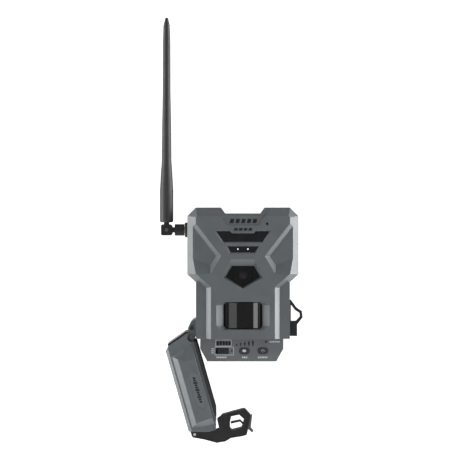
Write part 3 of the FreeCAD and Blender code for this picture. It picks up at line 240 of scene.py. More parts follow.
@dataclass(frozen=True)
class Moulded:
    """Injection-moulded plastic or rubber with a spark-eroded grain, and edges lightened partly by wear and
    partly by a painted highlight.

    Attributes:
        name: name of the material.
        colour: linear base colour.
        roughness: mean roughness.
        grain_mm: size of the mould's grain.
        depth_mm: depth of the grain.
        edge_mm: radius that edges look rounded to.
        edge_wear_and_highlight: how much lighter the edges are, 0 to 1; partly rubbed wear, partly a painted
            highlight where edges would catch the side light.
        mottle: share of colour variation.
        specular: specular level.
    """

    name: str
    colour: Triple
    roughness: float = 0.5
    grain_mm: float = 0.35
    depth_mm: float = 0.02
    edge_mm: float = 0.25
    edge_wear_and_highlight: float = 0.12
    mottle: float = 0.12
    specular: float = 0.5

    def build(self) -> bpy.types.Material:
        """Builds the material."""
        g = Graph(self.name)
        dark = tuple(c * (1 - self.mottle) for c in self.colour)
        light = tuple(c * (1 + self.mottle) for c in self.colour)
        # Lighter edge colour: rubbed wear and a painted highlight on edges that would catch the side light.
        worn_and_lit_edge = tuple(min(1.0, c * WORN_AND_HIGHLIGHT_GAIN + WORN_AND_HIGHLIGHT_LIFT) for c in self.colour)
        cloud = g.noise(14.0, 4.0)
        grain = g.noise(self.grain_mm, 2.0)
        base = g.mixed(g.ranged(cloud, 0, 1), dark, light)
        # Edge mask times noise, scaled by the edge amount: lightens sharp edges as wear and as a painted edge
        # highlight.
        rubbed_and_lit_edges = g.math("MULTIPLY", g.edge_mask(self.edge_mm), g.ranged(g.noise(2.5, 5.0), 0.2, 1.0))
        g.link(g.mixed(g.math("MULTIPLY", rubbed_and_lit_edges, self.edge_wear_and_highlight), base, worn_and_lit_edge), g.shader.inputs["Base Color"])
        patchy = g.ranged(cloud, self.roughness - 0.03, self.roughness + 0.03)
        rough = g.math("ADD", g.ranged(grain, -0.04, 0.04), patchy)
        g.link(rough, g.shader.inputs["Roughness"])
        g.link(g.bump(grain, self.depth_mm, g.soft_edge(self.edge_mm)), g.shader.inputs["Normal"])
        g.set(Specular_IOR=self.specular)
        return g.material


@dataclass(frozen=True)
class Glossy:
    """Polished dark plastic or glass with faint smears and dust.

    Attributes:
        name: name of the material.
        colour: linear base colour.
        roughness: roughness of the clean surface.
        smear: how much rougher the smears are.
        clear: share of light that passes through.
        ior: index of refraction.
    """

    name: str
    colour: Triple
    roughness: float = 0.05
    smear: float = 0.06
    clear: float = 0.0
    ior: float = 1.5

    def build(self) -> bpy.types.Material:
        """Builds the material."""
        g = Graph(self.name)
        dust = g.ranged(g.noise(0.22, 1.0), 0.0, 1.0, 0.72, 0.8)
        dusty = tuple(min(1.0, c + 0.02) for c in self.colour)
        g.link(g.mixed(dust, self.colour, dusty), g.shader.inputs["Base Color"])
        smears = g.ranged(g.noise(9.0, 5.0), self.roughness, self.roughness + self.smear)
        g.link(smears, g.shader.inputs["Roughness"])
        g.link(g.bump(g.noise(25.0, 1.0), 0.01, g.soft_edge(0.15)), g.shader.inputs["Normal"])
        g.set(Transmission_Weight=self.clear, IOR=self.ior)
        return g.material


@dataclass(frozen=True)
class Metal:
    """Drawn, turned or plated metal.

    Attributes:
        name: name of the material.
        colour: linear reflection colour.
        roughness: mean roughness.
        grain: direction of the drawing marks.
        tarnish: share of the surface with darker spots.
    """

    name: str
    colour: Triple
    roughness: float = 0.3
    grain: Axis = Axis.Z
    tarnish: float = 0.3

    def build(self) -> bpy.types.Material:
        """Builds the material."""
        g = Graph(self.name)
        stretch = [1.0, 1.0, 1.0]
        stretch[self.grain.value] = DRAWN_OUT
        marks = g.noise(0.25, 3.0, tuple(stretch))
        spots = g.ranged(g.noise(1.8, 5.0), 0.0, self.tarnish, 0.45, 0.75)
        dull = tuple(c * 0.55 for c in self.colour)
        g.link(g.mixed(spots, self.colour, dull), g.shader.inputs["Base Color"])
        g.link(g.ranged(marks, self.roughness - 0.08, self.roughness + 0.1), g.shader.inputs["Roughness"])
        g.link(g.bump(marks, 0.006, g.soft_edge(0.12)), g.shader.inputs["Normal"])
        g.set(Metallic=1.0)
        return g.material


@dataclass(frozen=True)
class CircuitBoard:
    """Solder-masked board with tracks, vias and pads under the mask.

    Attributes:
        name: name of the material.
        mask: colour of the solder mask.
    """

    name: str
    mask: Triple = (0.006, 0.055, 0.022)

    def build(self) -> bpy.types.Material:
        """Builds the material."""
        g = Graph(self.name)
        tracks = g.add("ShaderNodeTexBrick", offset=0.37, squash=1.6, squash_frequency=3)
        tracks.inputs["Scale"].default_value = 420.0
        tracks.inputs["Mortar Size"].default_value = 0.035
        swap = g.add("ShaderNodeMapping")
        swap.inputs["Rotation"].default_value = (math.pi / 2, 0, 0)
        g.link(g.place, swap.inputs["Vector"])
        g.link(swap.outputs[0], tracks.inputs["Vector"])
        cells = g.add("ShaderNodeTexVoronoi", feature="F1")
        cells.inputs["Scale"].default_value = 330.0
        g.link(g.place, cells.inputs["Vector"])
        via = g.ranged(cells.outputs["Distance"], 1.0, 0.0, 0.10, 0.13)
        track_colour = tuple(c * 2.1 for c in self.mask)
        base = g.mixed(tracks.outputs["Fac"], self.mask, track_colour)
        g.link(g.mixed(via, base, (0.62, 0.45, 0.16)), g.shader.inputs["Base Color"])
        g.link(via, g.shader.inputs["Metallic"])
        g.link(g.ranged(g.noise(6.0), 0.28, 0.4), g.shader.inputs["Roughness"])
        g.link(g.bump(tracks.outputs["Fac"], 0.03), g.shader.inputs["Normal"])
        return g.material


@dataclass(frozen=True)
class CellWrap:
    """Shrink wrap of a battery cell: a dark band, a copper band and bare steel ends.

    Attributes:
        name: name of the material.
        body: colour of the long band.
        band: colour of the band near the positive end.
    """

    name: str
    body: Triple = (0.012, 0.013, 0.015)
    band: Triple = (0.55, 0.22, 0.08)

    def build(self) -> bpy.types.Material:
        """Builds the material."""
        g = Graph(self.name)
        wave = g.add("ShaderNodeTexWave", wave_type="BANDS", bands_direction="Z")
        wave.inputs["Scale"].default_value = 5.0
        wave.inputs["Distortion"].default_value = 0.0
        g.link(g.place, wave.inputs["Vector"])
        banded = g.ranged(wave.outputs["Fac"], 0, 1, 0.78, 0.8)
        g.link(g.mixed(banded, self.body, self.band), g.shader.inputs["Base Color"])
        g.link(g.ranged(g.noise(3.0, 4.0), 0.18, 0.34), g.shader.inputs["Roughness"])
        g.link(g.bump(g.noise(1.2, 2.0), 0.02, g.soft_edge(0.3)), g.shader.inputs["Normal"])
        return g.material


@dataclass(frozen=True)
class Lamp:
    """Milky lamp or printed ink, with an optional glow.

    Attributes:
        name: name of the material.
        colour: linear colour.
        glow: emission strength.
        roughness: roughness of the surface.
        specular: specular level.
    """

    name: str
    colour: Triple
    glow: float = 0.0
    roughness: float = 0.35
    specular: float = 0.5

    def build(self) -> bpy.types.Material:
        """Builds the material."""
        g = Graph(self.name)
        dim = tuple(c * 0.86 for c in self.colour)
        cloud = g.ranged(g.noise(0.5, 3.0), 0, 1)
        g.link(g.mixed(cloud, dim, self.colour), g.shader.inputs["Base Color"])
        rough = g.ranged(g.noise(0.4, 2.0), self.roughness, self.roughness + 0.15)
        g.link(rough, g.shader.inputs["Roughness"])
        g.set(Emission_Color=self.colour, Emission_Strength=self.glow, Specular_IOR=self.specular)
        return g.material


def dress(finish: bpy.types.Material, *nodes: str) -> None:
    """Gives a material to CAD nodes, in place of their plain one."""
    for name in nodes:
        for slot in FRAME["nodes"][name].material_slots:
            slot.material = finish


def finished(mesh: bmesh.types.BMesh, name: str, body: str, finish: bpy.types.Material) -> None:
    """Turns a bmesh into a piece that rides on a body.

    Args:
        mesh: the finished shape in the frame's metres; it is freed here.
        name: name of the piece.
        body: CAD body that it moves with.
        finish: its material.
    """
    bmesh.ops.recalc_face_normals(mesh, faces=mesh.faces)
    data = bpy.data.meshes.new(name)
    mesh.to_mesh(data)
    mesh.free()
    data.materials.append(finish)
    piece = bpy.data.objects.new(name, data)
    bpy.context.scene.collection.objects.link(piece)
    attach(piece, body)
    LOG.info("%s: %d faces on %s", name, len(data.polygons), body)


class Skin:
    """Front surface of some CAD nodes, for prints that lie on it."""

    def __init__(self, *nodes: str) -> None:
        """Gathers the nodes' triangles into a search tree."""
        points: list[Vector] = []
        faces: list[tuple[int, ...]] = []
        for name in nodes:
            mesh = FRAME["nodes"][name].data
            first = len(points)
            points.extend(v.co.copy() for v in mesh.vertices)
            faces.extend(tuple(first + i for i in p.vertices) for p in mesh.polygons)
        self.tree = BVHTree.FromPolygons(points, faces)

    def depth(self, x: float, z: float, fallback: float) -> float:
        """Y of the surface that faces the front at a place.

        Args:
            x: place across, in metres.
            z: place up, in metres.
            fallback: Y to use where nothing is met.

        Returns:
            Y in metres.
        """
        hit = self.tree.ray_cast(Vector((x, PROBE_Y, z)), Vector((0, 1, 0)))[0]
        return fallback if hit is None else hit.y


def at(x: float, h: float) -> Point:
    """A place on the front from millimetres across and above the seam."""
    return (x * MM, (h - SEAM_TO_SOCKET) * MM)


def bar(x0: float, x1: float, h0: float, h1: float, lean: float = 0.0) -> list[Point]:
    """Outline of a bar whose top leans sideways, in millimetres above the seam."""
    return [at(x0, h0), at(x1, h0), at(x1 + lean, h1), at(x0 + lean, h1)]


def disc(
    x: float, h: float, radius: float, sides: int = 20, start: float = 0.0, turn: float = 360.0
) -> list[Point]:
    """Outline of a disc, or of an arc when turn is under 360 degrees.

    Args:
        x: centre across, in millimetres.
        h: centre above the seam, in millimetres.
        radius: radius in millimetres.
        sides: number of straight steps.
        start: first angle, in degrees.
        turn: angle that the outline covers, in degrees.

    Returns:
        The outline in metres.
    """
    count = sides if turn >= 360 else sides + 1
    steps = [math.radians(start + turn * i / sides) for i in range(count)]
    return [at(x + radius * math.cos(a), h + radius * math.sin(a)) for a in steps]


def ring(outline: list[Point], width: float) -> list[list[Point]]:
    """Splits the border of a closed outline into one quad for each side.

    Args:
        outline: points of the border's middle line, in metres.
        width: width of the line in millimetres.

    Returns:
        One quad for each side, with square ends that overlap at the corners.
    """
    quads = []
    half = width * MM / 2
    for start, stop in zip(outline, outline[1:] + outline[:1]):
        a, b = Vector(start), Vector(stop)
        along = (b - a).normalized() * half
        across = Vector((-along.y, along.x))
        corners = (a - along + across, a - along - across, b + along - across, b + along + across)
        quads.append([(c.x, c.y) for c in corners])
    return quads


def printed(
    shapes: list[list[Point]], skin: Skin, fallback: float, thick: float = INK_THICK
) -> bmesh.types.BMesh:
    """Thin ink on the front surface.

    Args:
        shapes: outlines in metres, across and up.
        skin: surface that the ink lies on.
        fallback: Y where the surface isn't met.
        thick: how far the ink stands proud, in millimetres.

    Returns:
        The ink as one bmesh.
    """
    mesh = bmesh.new()
    for shape in shapes:
        corners = [mesh.verts.new((x, skin.depth(x, z, fallback) - thick * MM, z)) for x, z in shape]
        face = mesh.faces.new(corners)
        side = bmesh.ops.extrude_face_region(mesh, geom=[face])["geom"]
        moved = [v for v in side if isinstance(v, bmesh.types.BMVert)]
        bmesh.ops.translate(mesh, verts=moved, vec=(0, (thick + INK_SUNK) * MM, 0))
    return mesh


def tube(
    radius: float, wall: float, length: float, centre: Vector, axis: Axis, bevel: float
) -> bmesh.types.BMesh:
    """A short tube or ring, made by spinning its section.

    Args:
        radius: outer radius in metres.
        wall: thickness of the wall, less than the radius.
        length: length along the axis.
        centre: middle of the tube.
        axis: axis that it is turned about.
        bevel: rounding of its edges, in metres.

    Returns:
        The tube as a bmesh.
    """
    mesh = bmesh.new()
    inner, half = radius - wall, length / 2
    corners = [(inner, -half), (radius, -half), (radius, half), (inner, half)]
    verts = [mesh.verts.new((r, 0, z)) for r, z in corners]
    edges = [mesh.edges.new((verts[i], verts[(i + 1) % 4])) for i in range(4)]
    bmesh.ops.spin(
        mesh, geom=verts + edges, cent=(0, 0, 0), axis=(0, 0, 1), angle=math.tau, steps=40, use_merge=True
    )
    bmesh.ops.remove_doubles(mesh, verts=mesh.verts, dist=1e-7)
    bmesh.ops.recalc_face_normals(mesh, faces=mesh.faces)
    sharp = [e for e in mesh.edges if e.calc_face_angle(0) > 1.0]
    bmesh.ops.bevel(mesh, geom=sharp, offset=bevel, segments=2, profile=0.5, affect="EDGES", material=-1)
    quarter = math.pi / 2
    turn = {
        Axis.X: Matrix.Rotation(quarter, 4, "Y"),
        Axis.Y: Matrix.Rotation(quarter, 4, "X"),
        Axis.Z: Matrix(),
    }[axis]
    bmesh.ops.transform(mesh, matrix=Matrix.Translation(centre) @ turn, verts=mesh.verts)
    return mesh


def joined(meshes: list[bmesh.types.BMesh]) -> bmesh.types.BMesh:
    """Joins several bmeshes into one and frees them."""
    whole = bmesh.new()
    for mesh in meshes:
        data = bpy.data.meshes.new("part")
        mesh.to_mesh(data)
        mesh.free()
        whole.from_mesh(data)
        bpy.data.meshes.remove(data)
    return whole


def middle(node: str) -> Vector:
    """Centre of a CAD node's box."""
    low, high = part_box(node)
    return (Vector(low) + Vector(high)) / 2


class Finishes:
    """Every finish of the camera, built once."""

    def __init__(self) -> None:
        """Builds the materials."""
        grey = (0.053, 0.060, 0.064)
        # The housing's strong edge lightening (0.8) is mostly a painted highlight on its chamfers and recess
        # edges.
        self.housing = Moulded(
            "housing_grey", grey,
            roughness=0.40, grain_mm=0.4, depth_mm=0.02, edge_mm=0.32, edge_wear_and_highlight=0.8, mottle=0.05,
        ).build()
        self.panel = Moulded(
            "panel_grey", (0.060, 0.065, 0.068),
            roughness=0.5, grain_mm=0.3, depth_mm=0.015, edge_mm=0.2, edge_wear_and_highlight=0.25, mottle=0.05,
        ).build()
        self.rubber = Moulded(
            "seal_rubber", (0.012, 0.012, 0.013),
            roughness=0.62, grain_mm=0.5, depth_mm=0.02, edge_mm=0.3, edge_wear_and_highlight=0.1, mottle=0.2, specular=0.3,
        ).build()
        self.button = Moulded(
            "button_rubber", (0.008, 0.008, 0.009),
            roughness=0.42, grain_mm=0.25, depth_mm=0.012, edge_mm=0.3, edge_wear_and_highlight=0.15, mottle=0.1,
        ).build()
        self.black = Moulded(
            "black_plastic", (0.006, 0.006, 0.007),
            roughness=0.4, grain_mm=0.3, depth_mm=0.015, edge_mm=0.2, edge_wear_and_highlight=0.12, mottle=0.1, specular=0.3,
        ).build()
        self.latch = Moulded(
            "latch_black", (0.006, 0.006, 0.007),
            roughness=0.42, grain_mm=0.35, depth_mm=0.015, edge_mm=0.25, edge_wear_and_highlight=0.3, mottle=0.15, specular=0.28,
        ).build()
        self.tab = Moulded(
            "tab_grey", (0.035, 0.037, 0.040),
            roughness=0.42, grain_mm=0.35, depth_mm=0.015, edge_mm=0.25, edge_wear_and_highlight=0.3, mottle=0.15,
        ).build()
        self.badge = Moulded(
            "badge_plate", (0.066, 0.073, 0.077),
            roughness=0.34, grain_mm=0.25, depth_mm=0.01, edge_mm=0.2, edge_wear_and_highlight=0.2, mottle=0.05,
        ).build()
        self.antenna = Moulded(
            "antenna_rubber", (0.009, 0.009, 0.010),
            roughness=0.48, grain_mm=0.6, depth_mm=0.03, edge_mm=0.4, edge_wear_and_highlight=0.15, mottle=0.15, specular=0.4,
        ).build()
        self.card = Moulded(
            "card_plastic", (0.018, 0.021, 0.03),
            roughness=0.35, grain_mm=0.2, depth_mm=0.008, edge_mm=0.15, edge_wear_and_highlight=0.2, mottle=0.1,
        ).build()
        self.flash = Glossy("flash_window", (0.004, 0.004, 0.005), roughness=0.12, smear=0.1).build()
        self.cover = Glossy("sensor_cover", (0.005, 0.005, 0.005), roughness=0.05, smear=0.05).build()
        self.window = Glossy(
            "clear_window", (0.33, 0.33, 0.34),
            roughness=0.02, smear=0.03, clear=1.0, ior=1.49,
        ).build()
        self.lens = Glossy(
            "lens_glass", (0.55, 0.5, 0.62),
            roughness=0.01, smear=0.02, clear=0.75, ior=1.6,
        ).build()
        self.lamp_dark = Glossy("lamp_dome", (0.02, 0.014, 0.016), roughness=0.12, smear=0.1).build()
        self.steel = Metal(
            "plated_steel", (0.62, 0.62, 0.60),
            roughness=0.28, grain=Axis.X, tarnish=0.25,
        ).build()
        self.pin = Metal("pin_steel", (0.55, 0.55, 0.55), roughness=0.22, grain=Axis.Y, tarnish=0.2).build()
        self.pin_dark = Metal(
            "pin_steel_dark", (0.10, 0.10, 0.105),
            roughness=0.36, grain=Axis.Y, tarnish=0.3,
        ).build()
        self.screw = Metal(
            "black_screw", (0.05, 0.05, 0.052),
            roughness=0.35, grain=Axis.Z, tarnish=0.3,
        ).build()
        self.brass = Metal(
            "brass_insert", (0.50, 0.37, 0.19),
            roughness=0.36, grain=Axis.Y, tarnish=0.35,
        ).build()
        self.die = Glossy("sensor_die", (0.03, 0.05, 0.04), roughness=0.15, smear=0.1).build()
        self.board = CircuitBoard("circuit_board").build()
        self.cell = CellWrap("cell_wrap").build()
        self.white = Lamp("white_lamp", (0.8, 0.82, 0.84), glow=0.35).build()
        self.ink = Lamp("white_ink", (0.36, 0.38, 0.39), glow=0.0, roughness=0.5).build()
        self.dark_ink = Lamp(
            "black_ink", (0.008, 0.009, 0.010),
            glow=0.0, roughness=0.6, specular=0.1,
        ).build()


@dataclass
class Housing:
    """Front and rear housing halves, their seal, screws and the prints on the front.

    Attributes:
        finishes: the camera's finishes.
        mark_low: foot of the long row of marks above the flash window.
        mark_high: top of that row.
        short_low: foot of the shorter row below it.
        short_high: top of the shorter row.
    """

    finishes: Finishes
    mark_low: float = 101.6
    mark_high: float = 105.2
    short_low: float = 94.9
    short_high: float = 97.2

    def build(self) -> None:
        """Dresses the housing and prints the marks."""
        f = self.finishes
        dress(f.housing, "front_housing", "rear_housing", "hinge_bracket")
        dress(f.rubber, "housing_gasket")
        dress(f.screw, "housing_screws")
        dress(f.brass, "tripod_insert")
        dress(f.latch, "latch_keeper")
        dress(f.pin_dark, "hinge_pin")
        self.marks()

    def marks(self) -> None:
        """Prints plain slanted bars and dashes where such a camera carries its name."""
        skin = Skin("front_housing")
        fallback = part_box("front_housing")[0][1]
        shapes = []
        pitch, width, lean = 5.0, 3.4, 0.9
        for i in range(-2, 3):
            x = i * pitch - width / 2
            shapes.append(bar(x, x + width, self.mark_low, self.mark_high, lean))
        pitch, width, lean = 4.2, 3.1, 0.5
        for i in range(-2, 2):
            x = i * pitch + 0.5
            shapes.append(bar(x, x + width, self.short_low, self.short_high, lean))
        mesh = printed(shapes, skin, fallback)
        finished(mesh, "front_marks", "housing", self.finishes.dark_ink)


@dataclass
class Optics:
    """Flash window, lamps, indicators, lens and the motion-sensor cover.

    Attributes:
        finishes: the camera's finishes.
    """

    finishes: Finishes

    def build(self) -> None:
        """Dresses the windows and everything behind them."""
        f = self.finishes
        dress(f.flash, "flash_window", "sensor_window")
        dress(f.window, "lens_window")
        dress(f.lens, "lens_glass")
        dress(f.black, "lens_barrel", "lens_holder", "microphone", "pir_holder", "dc_jack")
        dress(f.lamp_dark, "ir_leds")
        dress(f.white, "status_leds")
        dress(f.cover, "pir_lens")
        dress(f.die, "image_sensor", "pir_sensor")
        dress(f.board, "camera_board", "led_board", "pir_board", "main_board", "control_board")
        dress(f.screw, "board_screws")
        dress(f.steel, "modem_shield", "sd_socket")
        dress(f.black, "board_chips", "tact_switches")
        self.rings()
        self.indicators()

    def indicators(self) -> None:
        """Puts the two lit spots of the indicators on their window."""
        skin = Skin("sensor_window")
        centre = middle("status_leds")
        low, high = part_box("status_leds")
        reach = (high[0] - low[0]) / 2 - 1.2 * MM
        h = centre.z / MM + SEAM_TO_SOCKET
        spots = [disc(side * reach / MM, h, 0.6) for side in (-1, 1)]
        mesh = printed(spots, skin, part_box("sensor_window")[0][1])
        finished(mesh, "indicator_spots", "housing", self.finishes.white)

    def rings(self) -> None:
        """Adds the stepped trim rings round the lens."""
        low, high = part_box("lens_barrel")
        centre = middle("lens_barrel")
        radius = (high[0] - low[0]) / 2
        front = low[1]
        steps = []
        for share, back in ((0.97, 0.25), (0.80, 0.75), (0.62, 1.2)):
            place = Vector((centre.x, front + back * MM, centre.z))
            steps.append(tube(radius * share, radius * 0.07, 0.35 * MM, place, Axis.Y, 0.05 * MM))
        finished(joined(steps), "lens_trim_rings", "housing", self.finishes.pin_dark)


@dataclass
class ControlPanel:
    """Lower plug with the switch, the buttons, the lamp and the prints round them.

    Places and sizes are in millimetres, across and above the seam; a box is its left, right, foot and top.

    Attributes:
        finishes: the camera's finishes.
        line: width of the printed lines.
        level_box: printed box round the battery symbols.
        switch_box: printed box round the slide switch.
        dash_heights: heights of the three dashes beside the switch.
        labels: left and right ends of the labels under the controls.
        label_span: foot and top of those labels.
        bars: heights of the signal bars, from left to right.
    """

    finishes: Finishes
    line: float = 0.34
    level_box: Box = (-24.0, -10.2, -6.6, -1.2)
    switch_box: Box = (-24.6, -8.2, -14.3, -7.3)
    dash_heights: tuple[float, ...] = (-8.9, -10.7, -12.5)
    labels: tuple[Point, ...] = ((-23.2, -14.2), (-0.7, 4.3), (13.2, 22.0))
    label_span: Point = (-17.1, -15.7)
    bars: tuple[float, ...] = (0.9, 1.5, 2.2, 2.9, 3.6)

    def build(self) -> None:
        """Dresses the panel and prints its marks."""
        f = self.finishes
        dress(f.panel, "lower_frame")
        dress(f.black, "slide_switch", "mode_slider")
        dress(f.button, "test_button", "power_button")
        dress(f.lamp_dark, "power_lamp")
        dress(f.card, "sd_card")
        skin = Skin("lower_frame")
        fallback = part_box("lower_frame")[0][1]
        white = printed(self.white_shapes(), skin, fallback)
        finished(white, "panel_white_print", "housing", f.ink)
        dark = printed(self.dark_shapes(), skin, fallback, 2 * INK_THICK)
        finished(dark, "panel_dark_print", "housing", f.dark_ink)
        self.button_marks()

    def white_shapes(self) -> list[list[Point]]:
        """Outlines and label dashes printed in white."""
        shapes = ring(bar(*self.level_box), self.line)
        shapes += ring(bar(*self.switch_box), self.line)
        for h in self.dash_heights:
            shapes.append(bar(-27.6, -25.6, h - 0.35, h + 0.35))
        lean, inked = 0.2, 0.68
        for x0, x1 in self.labels:
            count = round((x1 - x0) / 1.6)
            step = (x1 - x0) / count
            for i in range(count):
                x = x0 + i * step
                shapes.append(bar(x, x + step * inked, *self.label_span, lean))
        shapes += [bar(23.6 + 1.5 * i, 24.6 + 1.5 * i, -3.3, -2.1, lean) for i in range(6)]
        return shapes

    def dark_shapes(self) -> list[list[Point]]:
        """Level bars, cell outlines and dots printed in black."""
        shapes = []
        cell_foot, cell_top, cap_top = -5.7, -2.6, -2.0
        for i in range(5):
            x = -22.9 + 2.55 * i
            shapes.append(bar(x, x + 2.0, cell_foot, cell_top))
            shapes.append(bar(x + 0.45, x + 1.55, cell_top, cap_top))
        foot, wide = -5.4, 1.3
        for i, tall in enumerate(self.bars):
            x = -6.2 + 3.6 * i
            shapes.append(bar(x, x + wide, foot, foot + tall))
            shapes.append(bar(x, x + wide, foot - 1.0, foot - 0.4))
        shapes.append(disc(-9.6, self.dash_heights[1], 0.7))
        return shapes

    def button_marks(self) -> None:
        """Prints the white centre of the test button and the ring on the power button."""
        test, power = middle("test_button"), middle("power_button")
        h_test, h_power = test.z / MM + SEAM_TO_SOCKET, power.z / MM + SEAM_TO_SOCKET
        x_test, x_power = test.x / MM, power.x / MM
        stretch = 1.35
        oval = [(x * stretch - (stretch - 1) * x_test * MM, z) for x, z in disc(x_test, h_test, 1.25)]
        ink = self.finishes.ink
        mark = printed([oval], Skin("test_button"), test.y)
        finished(mark, "test_button_mark", "test_button", ink)
        arc = disc(x_power, h_power - 0.15, 1.15, 14, 125, 290)
        shapes = ring(arc, 0.32)[:-1]
        shapes.append(bar(x_power - 0.17, x_power + 0.17, h_power + 0.1, h_power + 1.5))
        mark = printed(shapes, Skin("power_button"), power.y)
        finished(mark, "power_button_mark", "power_button", ink)


@dataclass
class BatteryDoor:
    """Hinged door with its badge and seal, hanging open.

    Attributes:
        finishes: the camera's finishes.
    """

    finishes: Finishes

    def build(self) -> None:
        """Dresses the door and marks its badge."""
        f = self.finishes
        dress(f.housing, "door_shell")
        dress(f.black, "hinge_leaf")
        dress(f.badge, "door_badge")
        dress(f.rubber, "door_gasket")
        self.badge_marks()

    def badge_marks(self) -> None:
        """Puts a row of plain slanted bars along the badge, in the badge's own direction."""
        badge = FRAME["nodes"]["door_badge"]
        centre = middle("door_badge")
        along = max((v.co - centre for v in badge.data.vertices), key=lambda d: math.hypot(d.x, d.z))
        along = Vector((along.x, 0, along.z)).normalized()
        if along.z > 0:
            along = -along
        across = Vector((-along.z, 0, along.x))
        shapes = []
        slant = 0.6
        for i in range(-5, 6):
            tall = 1.1 if i % 3 else 1.7
            corners = ((-0.95, -tall), (0.65, -tall), (0.65 + slant, tall), (-0.95 + slant, tall))
            outline = []
            for u, v in corners:
                spot = centre + along * (i * 2.15 + u) * MM + across * v * MM
                outline.append((spot.x, spot.z))
            shapes.append(outline)
        mesh = printed(shapes, Skin("door_badge"), centre.y)
        finished(mesh, "badge_marks", "door", self.finishes.dark_ink)


@dataclass
class Latch:
    """Latch lever, its bars, tab and pin.

    Attributes:
        finishes: the camera's finishes.
    """

    finishes: Finishes

    def build(self) -> None:
        """Dresses the latch."""
        f = self.finishes
        dress(f.latch, "latch_lever", "latch_bars")
        dress(f.tab, "latch_tab")
        dress(f.pin, "latch_pin")


@dataclass
class Antenna:
    """Connector, nut, elbow and the whip with its moulded rings.

    Attributes:
        finishes: the camera's finishes.
        ring_heights: places of the rings, as shares of the whip's height.
    """

    finishes: Finishes
    ring_heights: tuple[float, ...] = (0.02, 0.035, 0.05)

    def build(self) -> None:
        """Dresses the antenna and adds the rings at the foot of the whip."""
        f = self.finishes
        dress(f.brass, "antenna_connector", "connector_nut")
        dress(f.black, "antenna_washer", "antenna_nut", "antenna_elbow")
        dress(f.antenna, "antenna_whip")
        dress(f.pin_dark, "elbow_pin")
        low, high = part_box("antenna_whip")
        centre = middle("antenna_whip")
        radius = (high[1] - low[1]) / 2
        rings = []
        for share in self.ring_heights:
            place = Vector((centre.x, centre.y, low[2] + 9 * MM + share * (high[2] - low[2])))
            rings.append(tube(radius - 0.02 * MM, 0.6 * MM, 1.0 * MM, place, Axis.Z, 0.2 * MM))
        finished(joined(rings), "whip_foot_rings", "antenna_whip", f.antenna)


@dataclass
class Battery:
    """Tray with its springs, contacts and six cells.

    Attributes:
        finishes: the camera's finishes.
    """

    finishes: Finishes

    def build(self) -> None:
        """Dresses the tray and the cells."""
        f = self.finishes
        dress(f.panel, "battery_tray")
        dress(f.steel, "tray_springs", "tray_contacts")
        dress(f.cell, "battery_cells_front", "battery_cells_back")


@dataclass(frozen=True)
class Softbox:
    """One rectangular soft light.

    Attributes:
        name: name of the light.
        azimuth: degrees round from the front, towards the camera's right.
        elevation: degrees above level.
        distance: distance from the object, in metres.
        size: width and height, in metres.
        radiance: brightness of its face, where 1 is paper white.
    """

    name: str
    azimuth: float
    elevation: float
    distance: float
    size: Point
    radiance: float


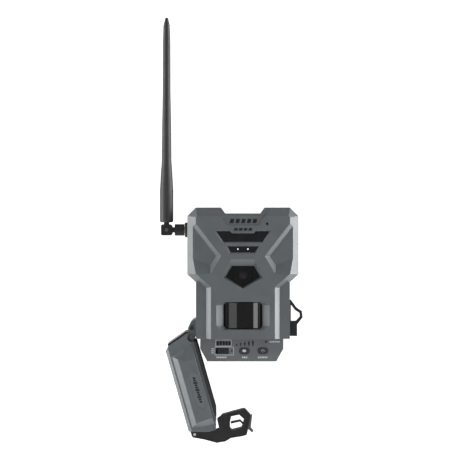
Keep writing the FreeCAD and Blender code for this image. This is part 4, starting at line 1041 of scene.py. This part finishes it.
@dataclass
class Studio:
    """White sweep, soft lights and the camera.

    Attributes:
        aim_x: place across that the camera looks at.
        aim_z: place up that the camera looks at.
        wide: width of the view at the front of the housing.
        away: distance of the camera from the front of the housing.
        surround: brightness of the room, where 1 is paper white.
        boxes: the lights.
    """

    aim_x: float = -0.0113
    aim_z: float = 0.0335
    wide: float = 0.4025
    away: float = 2.2
    surround: float = 0.2
    boxes: tuple[Softbox, ...] = (
        Softbox("rim_left", -88, 8, 0.75, (0.3, 1.0), 10.4),
        Softbox("rim_right", 88, 8, 0.75, (0.3, 1.0), 15.0),
        Softbox("side_left", -35, 4, 0.9, (0.45, 1.1), 1.5),
        Softbox("side_right", 45, 4, 0.9, (0.25, 1.1), 4.5),
        Softbox("top", 0, 68, 1.15, (0.9, 0.5), 2.0),
    )

    def build(self) -> None:
        """Builds the sweep, the lights and the camera."""
        self.sweep()
        self.world()
        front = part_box("front_housing")[0][1]
        for box in self.boxes:
            self.softbox(box, Vector((0.0, front, 0.02)))
        camera = bpy.data.cameras.new("camera")
        camera.lens = camera.sensor_width * self.away / self.wide
        seat = bpy.data.objects.new("camera", camera)
        seat.location = (self.aim_x, front - self.away, self.aim_z)
        seat.rotation_euler = (math.pi / 2, 0, 0)
        bpy.context.scene.collection.objects.link(seat)
        bpy.context.scene.camera = seat
        bpy.context.scene.view_settings.view_transform = "Standard"

    def sweep(self) -> None:
        """Builds the pale floor that curves up into the backdrop."""
        floor_z, reach, back, bend, top = -0.42, 1.3, 4.2, 1.0, 3.5
        mesh = bmesh.new()
        path = [(-back - 0.3, floor_z), (back - bend, floor_z)]
        for i in range(1, 11):
            a = math.pi / 2 * i / 10
            path.append((back - bend + bend * math.sin(a), floor_z + bend * (1 - math.cos(a))))
        path.append((back, top))
        verts = [mesh.verts.new((-reach, y, z)) for y, z in path]
        edges = [mesh.edges.new(pair) for pair in zip(verts, verts[1:])]
        wide = bmesh.ops.extrude_edge_only(mesh, edges=edges)["geom"]
        moved = [v for v in wide if isinstance(v, bmesh.types.BMVert)]
        bmesh.ops.translate(mesh, verts=moved, vec=(2 * reach, 0, 0))
        data = bpy.data.meshes.new("sweep")
        bmesh.ops.recalc_face_normals(mesh, faces=mesh.faces)
        mesh.to_mesh(data)
        mesh.free()
        data.materials.append(Lamp("paper_white", (0.86, 0.86, 0.86), 1.0, 0.8).build())
        data.polygons.foreach_set("use_smooth", [True] * len(data.polygons))
        floor = bpy.data.objects.new("sweep", data)
        bpy.context.scene.collection.objects.link(floor)

    def world(self) -> None:
        """Sets an even dim surround that shows as white paper behind the object."""
        world = bpy.data.worlds.new("studio")
        world.use_nodes = True
        nodes, links = world.node_tree.nodes, world.node_tree.links
        paper = nodes.new("ShaderNodeBackground")
        paper.inputs["Color"].default_value = (1.0, 1.0, 1.0, 1.0)
        paper.inputs["Strength"].default_value = 1.05
        dim = nodes["Background"]
        dim.inputs["Color"].default_value = (0.96, 0.98, 1.0, 1.0)
        dim.inputs["Strength"].default_value = self.surround
        seen = nodes.new("ShaderNodeLightPath").outputs["Is Camera Ray"]
        mix = nodes.new("ShaderNodeMixShader")
        links.new(seen, mix.inputs[0])
        links.new(dim.outputs[0], mix.inputs[1])
        links.new(paper.outputs[0], mix.inputs[2])
        links.new(mix.outputs[0], nodes["World Output"].inputs[0])
        bpy.context.scene.world = world

    def softbox(self, box: Softbox, aim: Vector) -> None:
        """Adds one rectangular soft light that points at a place.

        Args:
            box: the light's place, size and brightness.
            aim: where it points.
        """
        light = bpy.data.lights.new(box.name, "AREA")
        light.shape = "RECTANGLE"
        light.size, light.size_y = box.size
        light.energy = box.radiance * math.pi * box.size[0] * box.size[1]
        lamp = bpy.data.objects.new(box.name, light)
        turn, rise = math.radians(box.azimuth), math.radians(box.elevation)
        away = Vector((math.sin(turn) * math.cos(rise), -math.cos(turn) * math.cos(rise), math.sin(rise)))
        lamp.location = aim + away * box.distance
        lamp.rotation_euler = (-away).to_track_quat("-Z", "Y").to_euler()
        bpy.context.scene.collection.objects.link(lamp)


def main() -> None:
    """Builds every sub-assembly in order."""
    finishes = Finishes()
    for part in (Housing, Optics, ControlPanel, BatteryDoor, Latch, Antenna, Battery):
        part(finishes).build()
        LOG.info("%s done", part.__name__)
    Studio().build()


if __name__ == "__main__":
    logging.basicConfig(level=logging.INFO)
    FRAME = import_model()
    main()
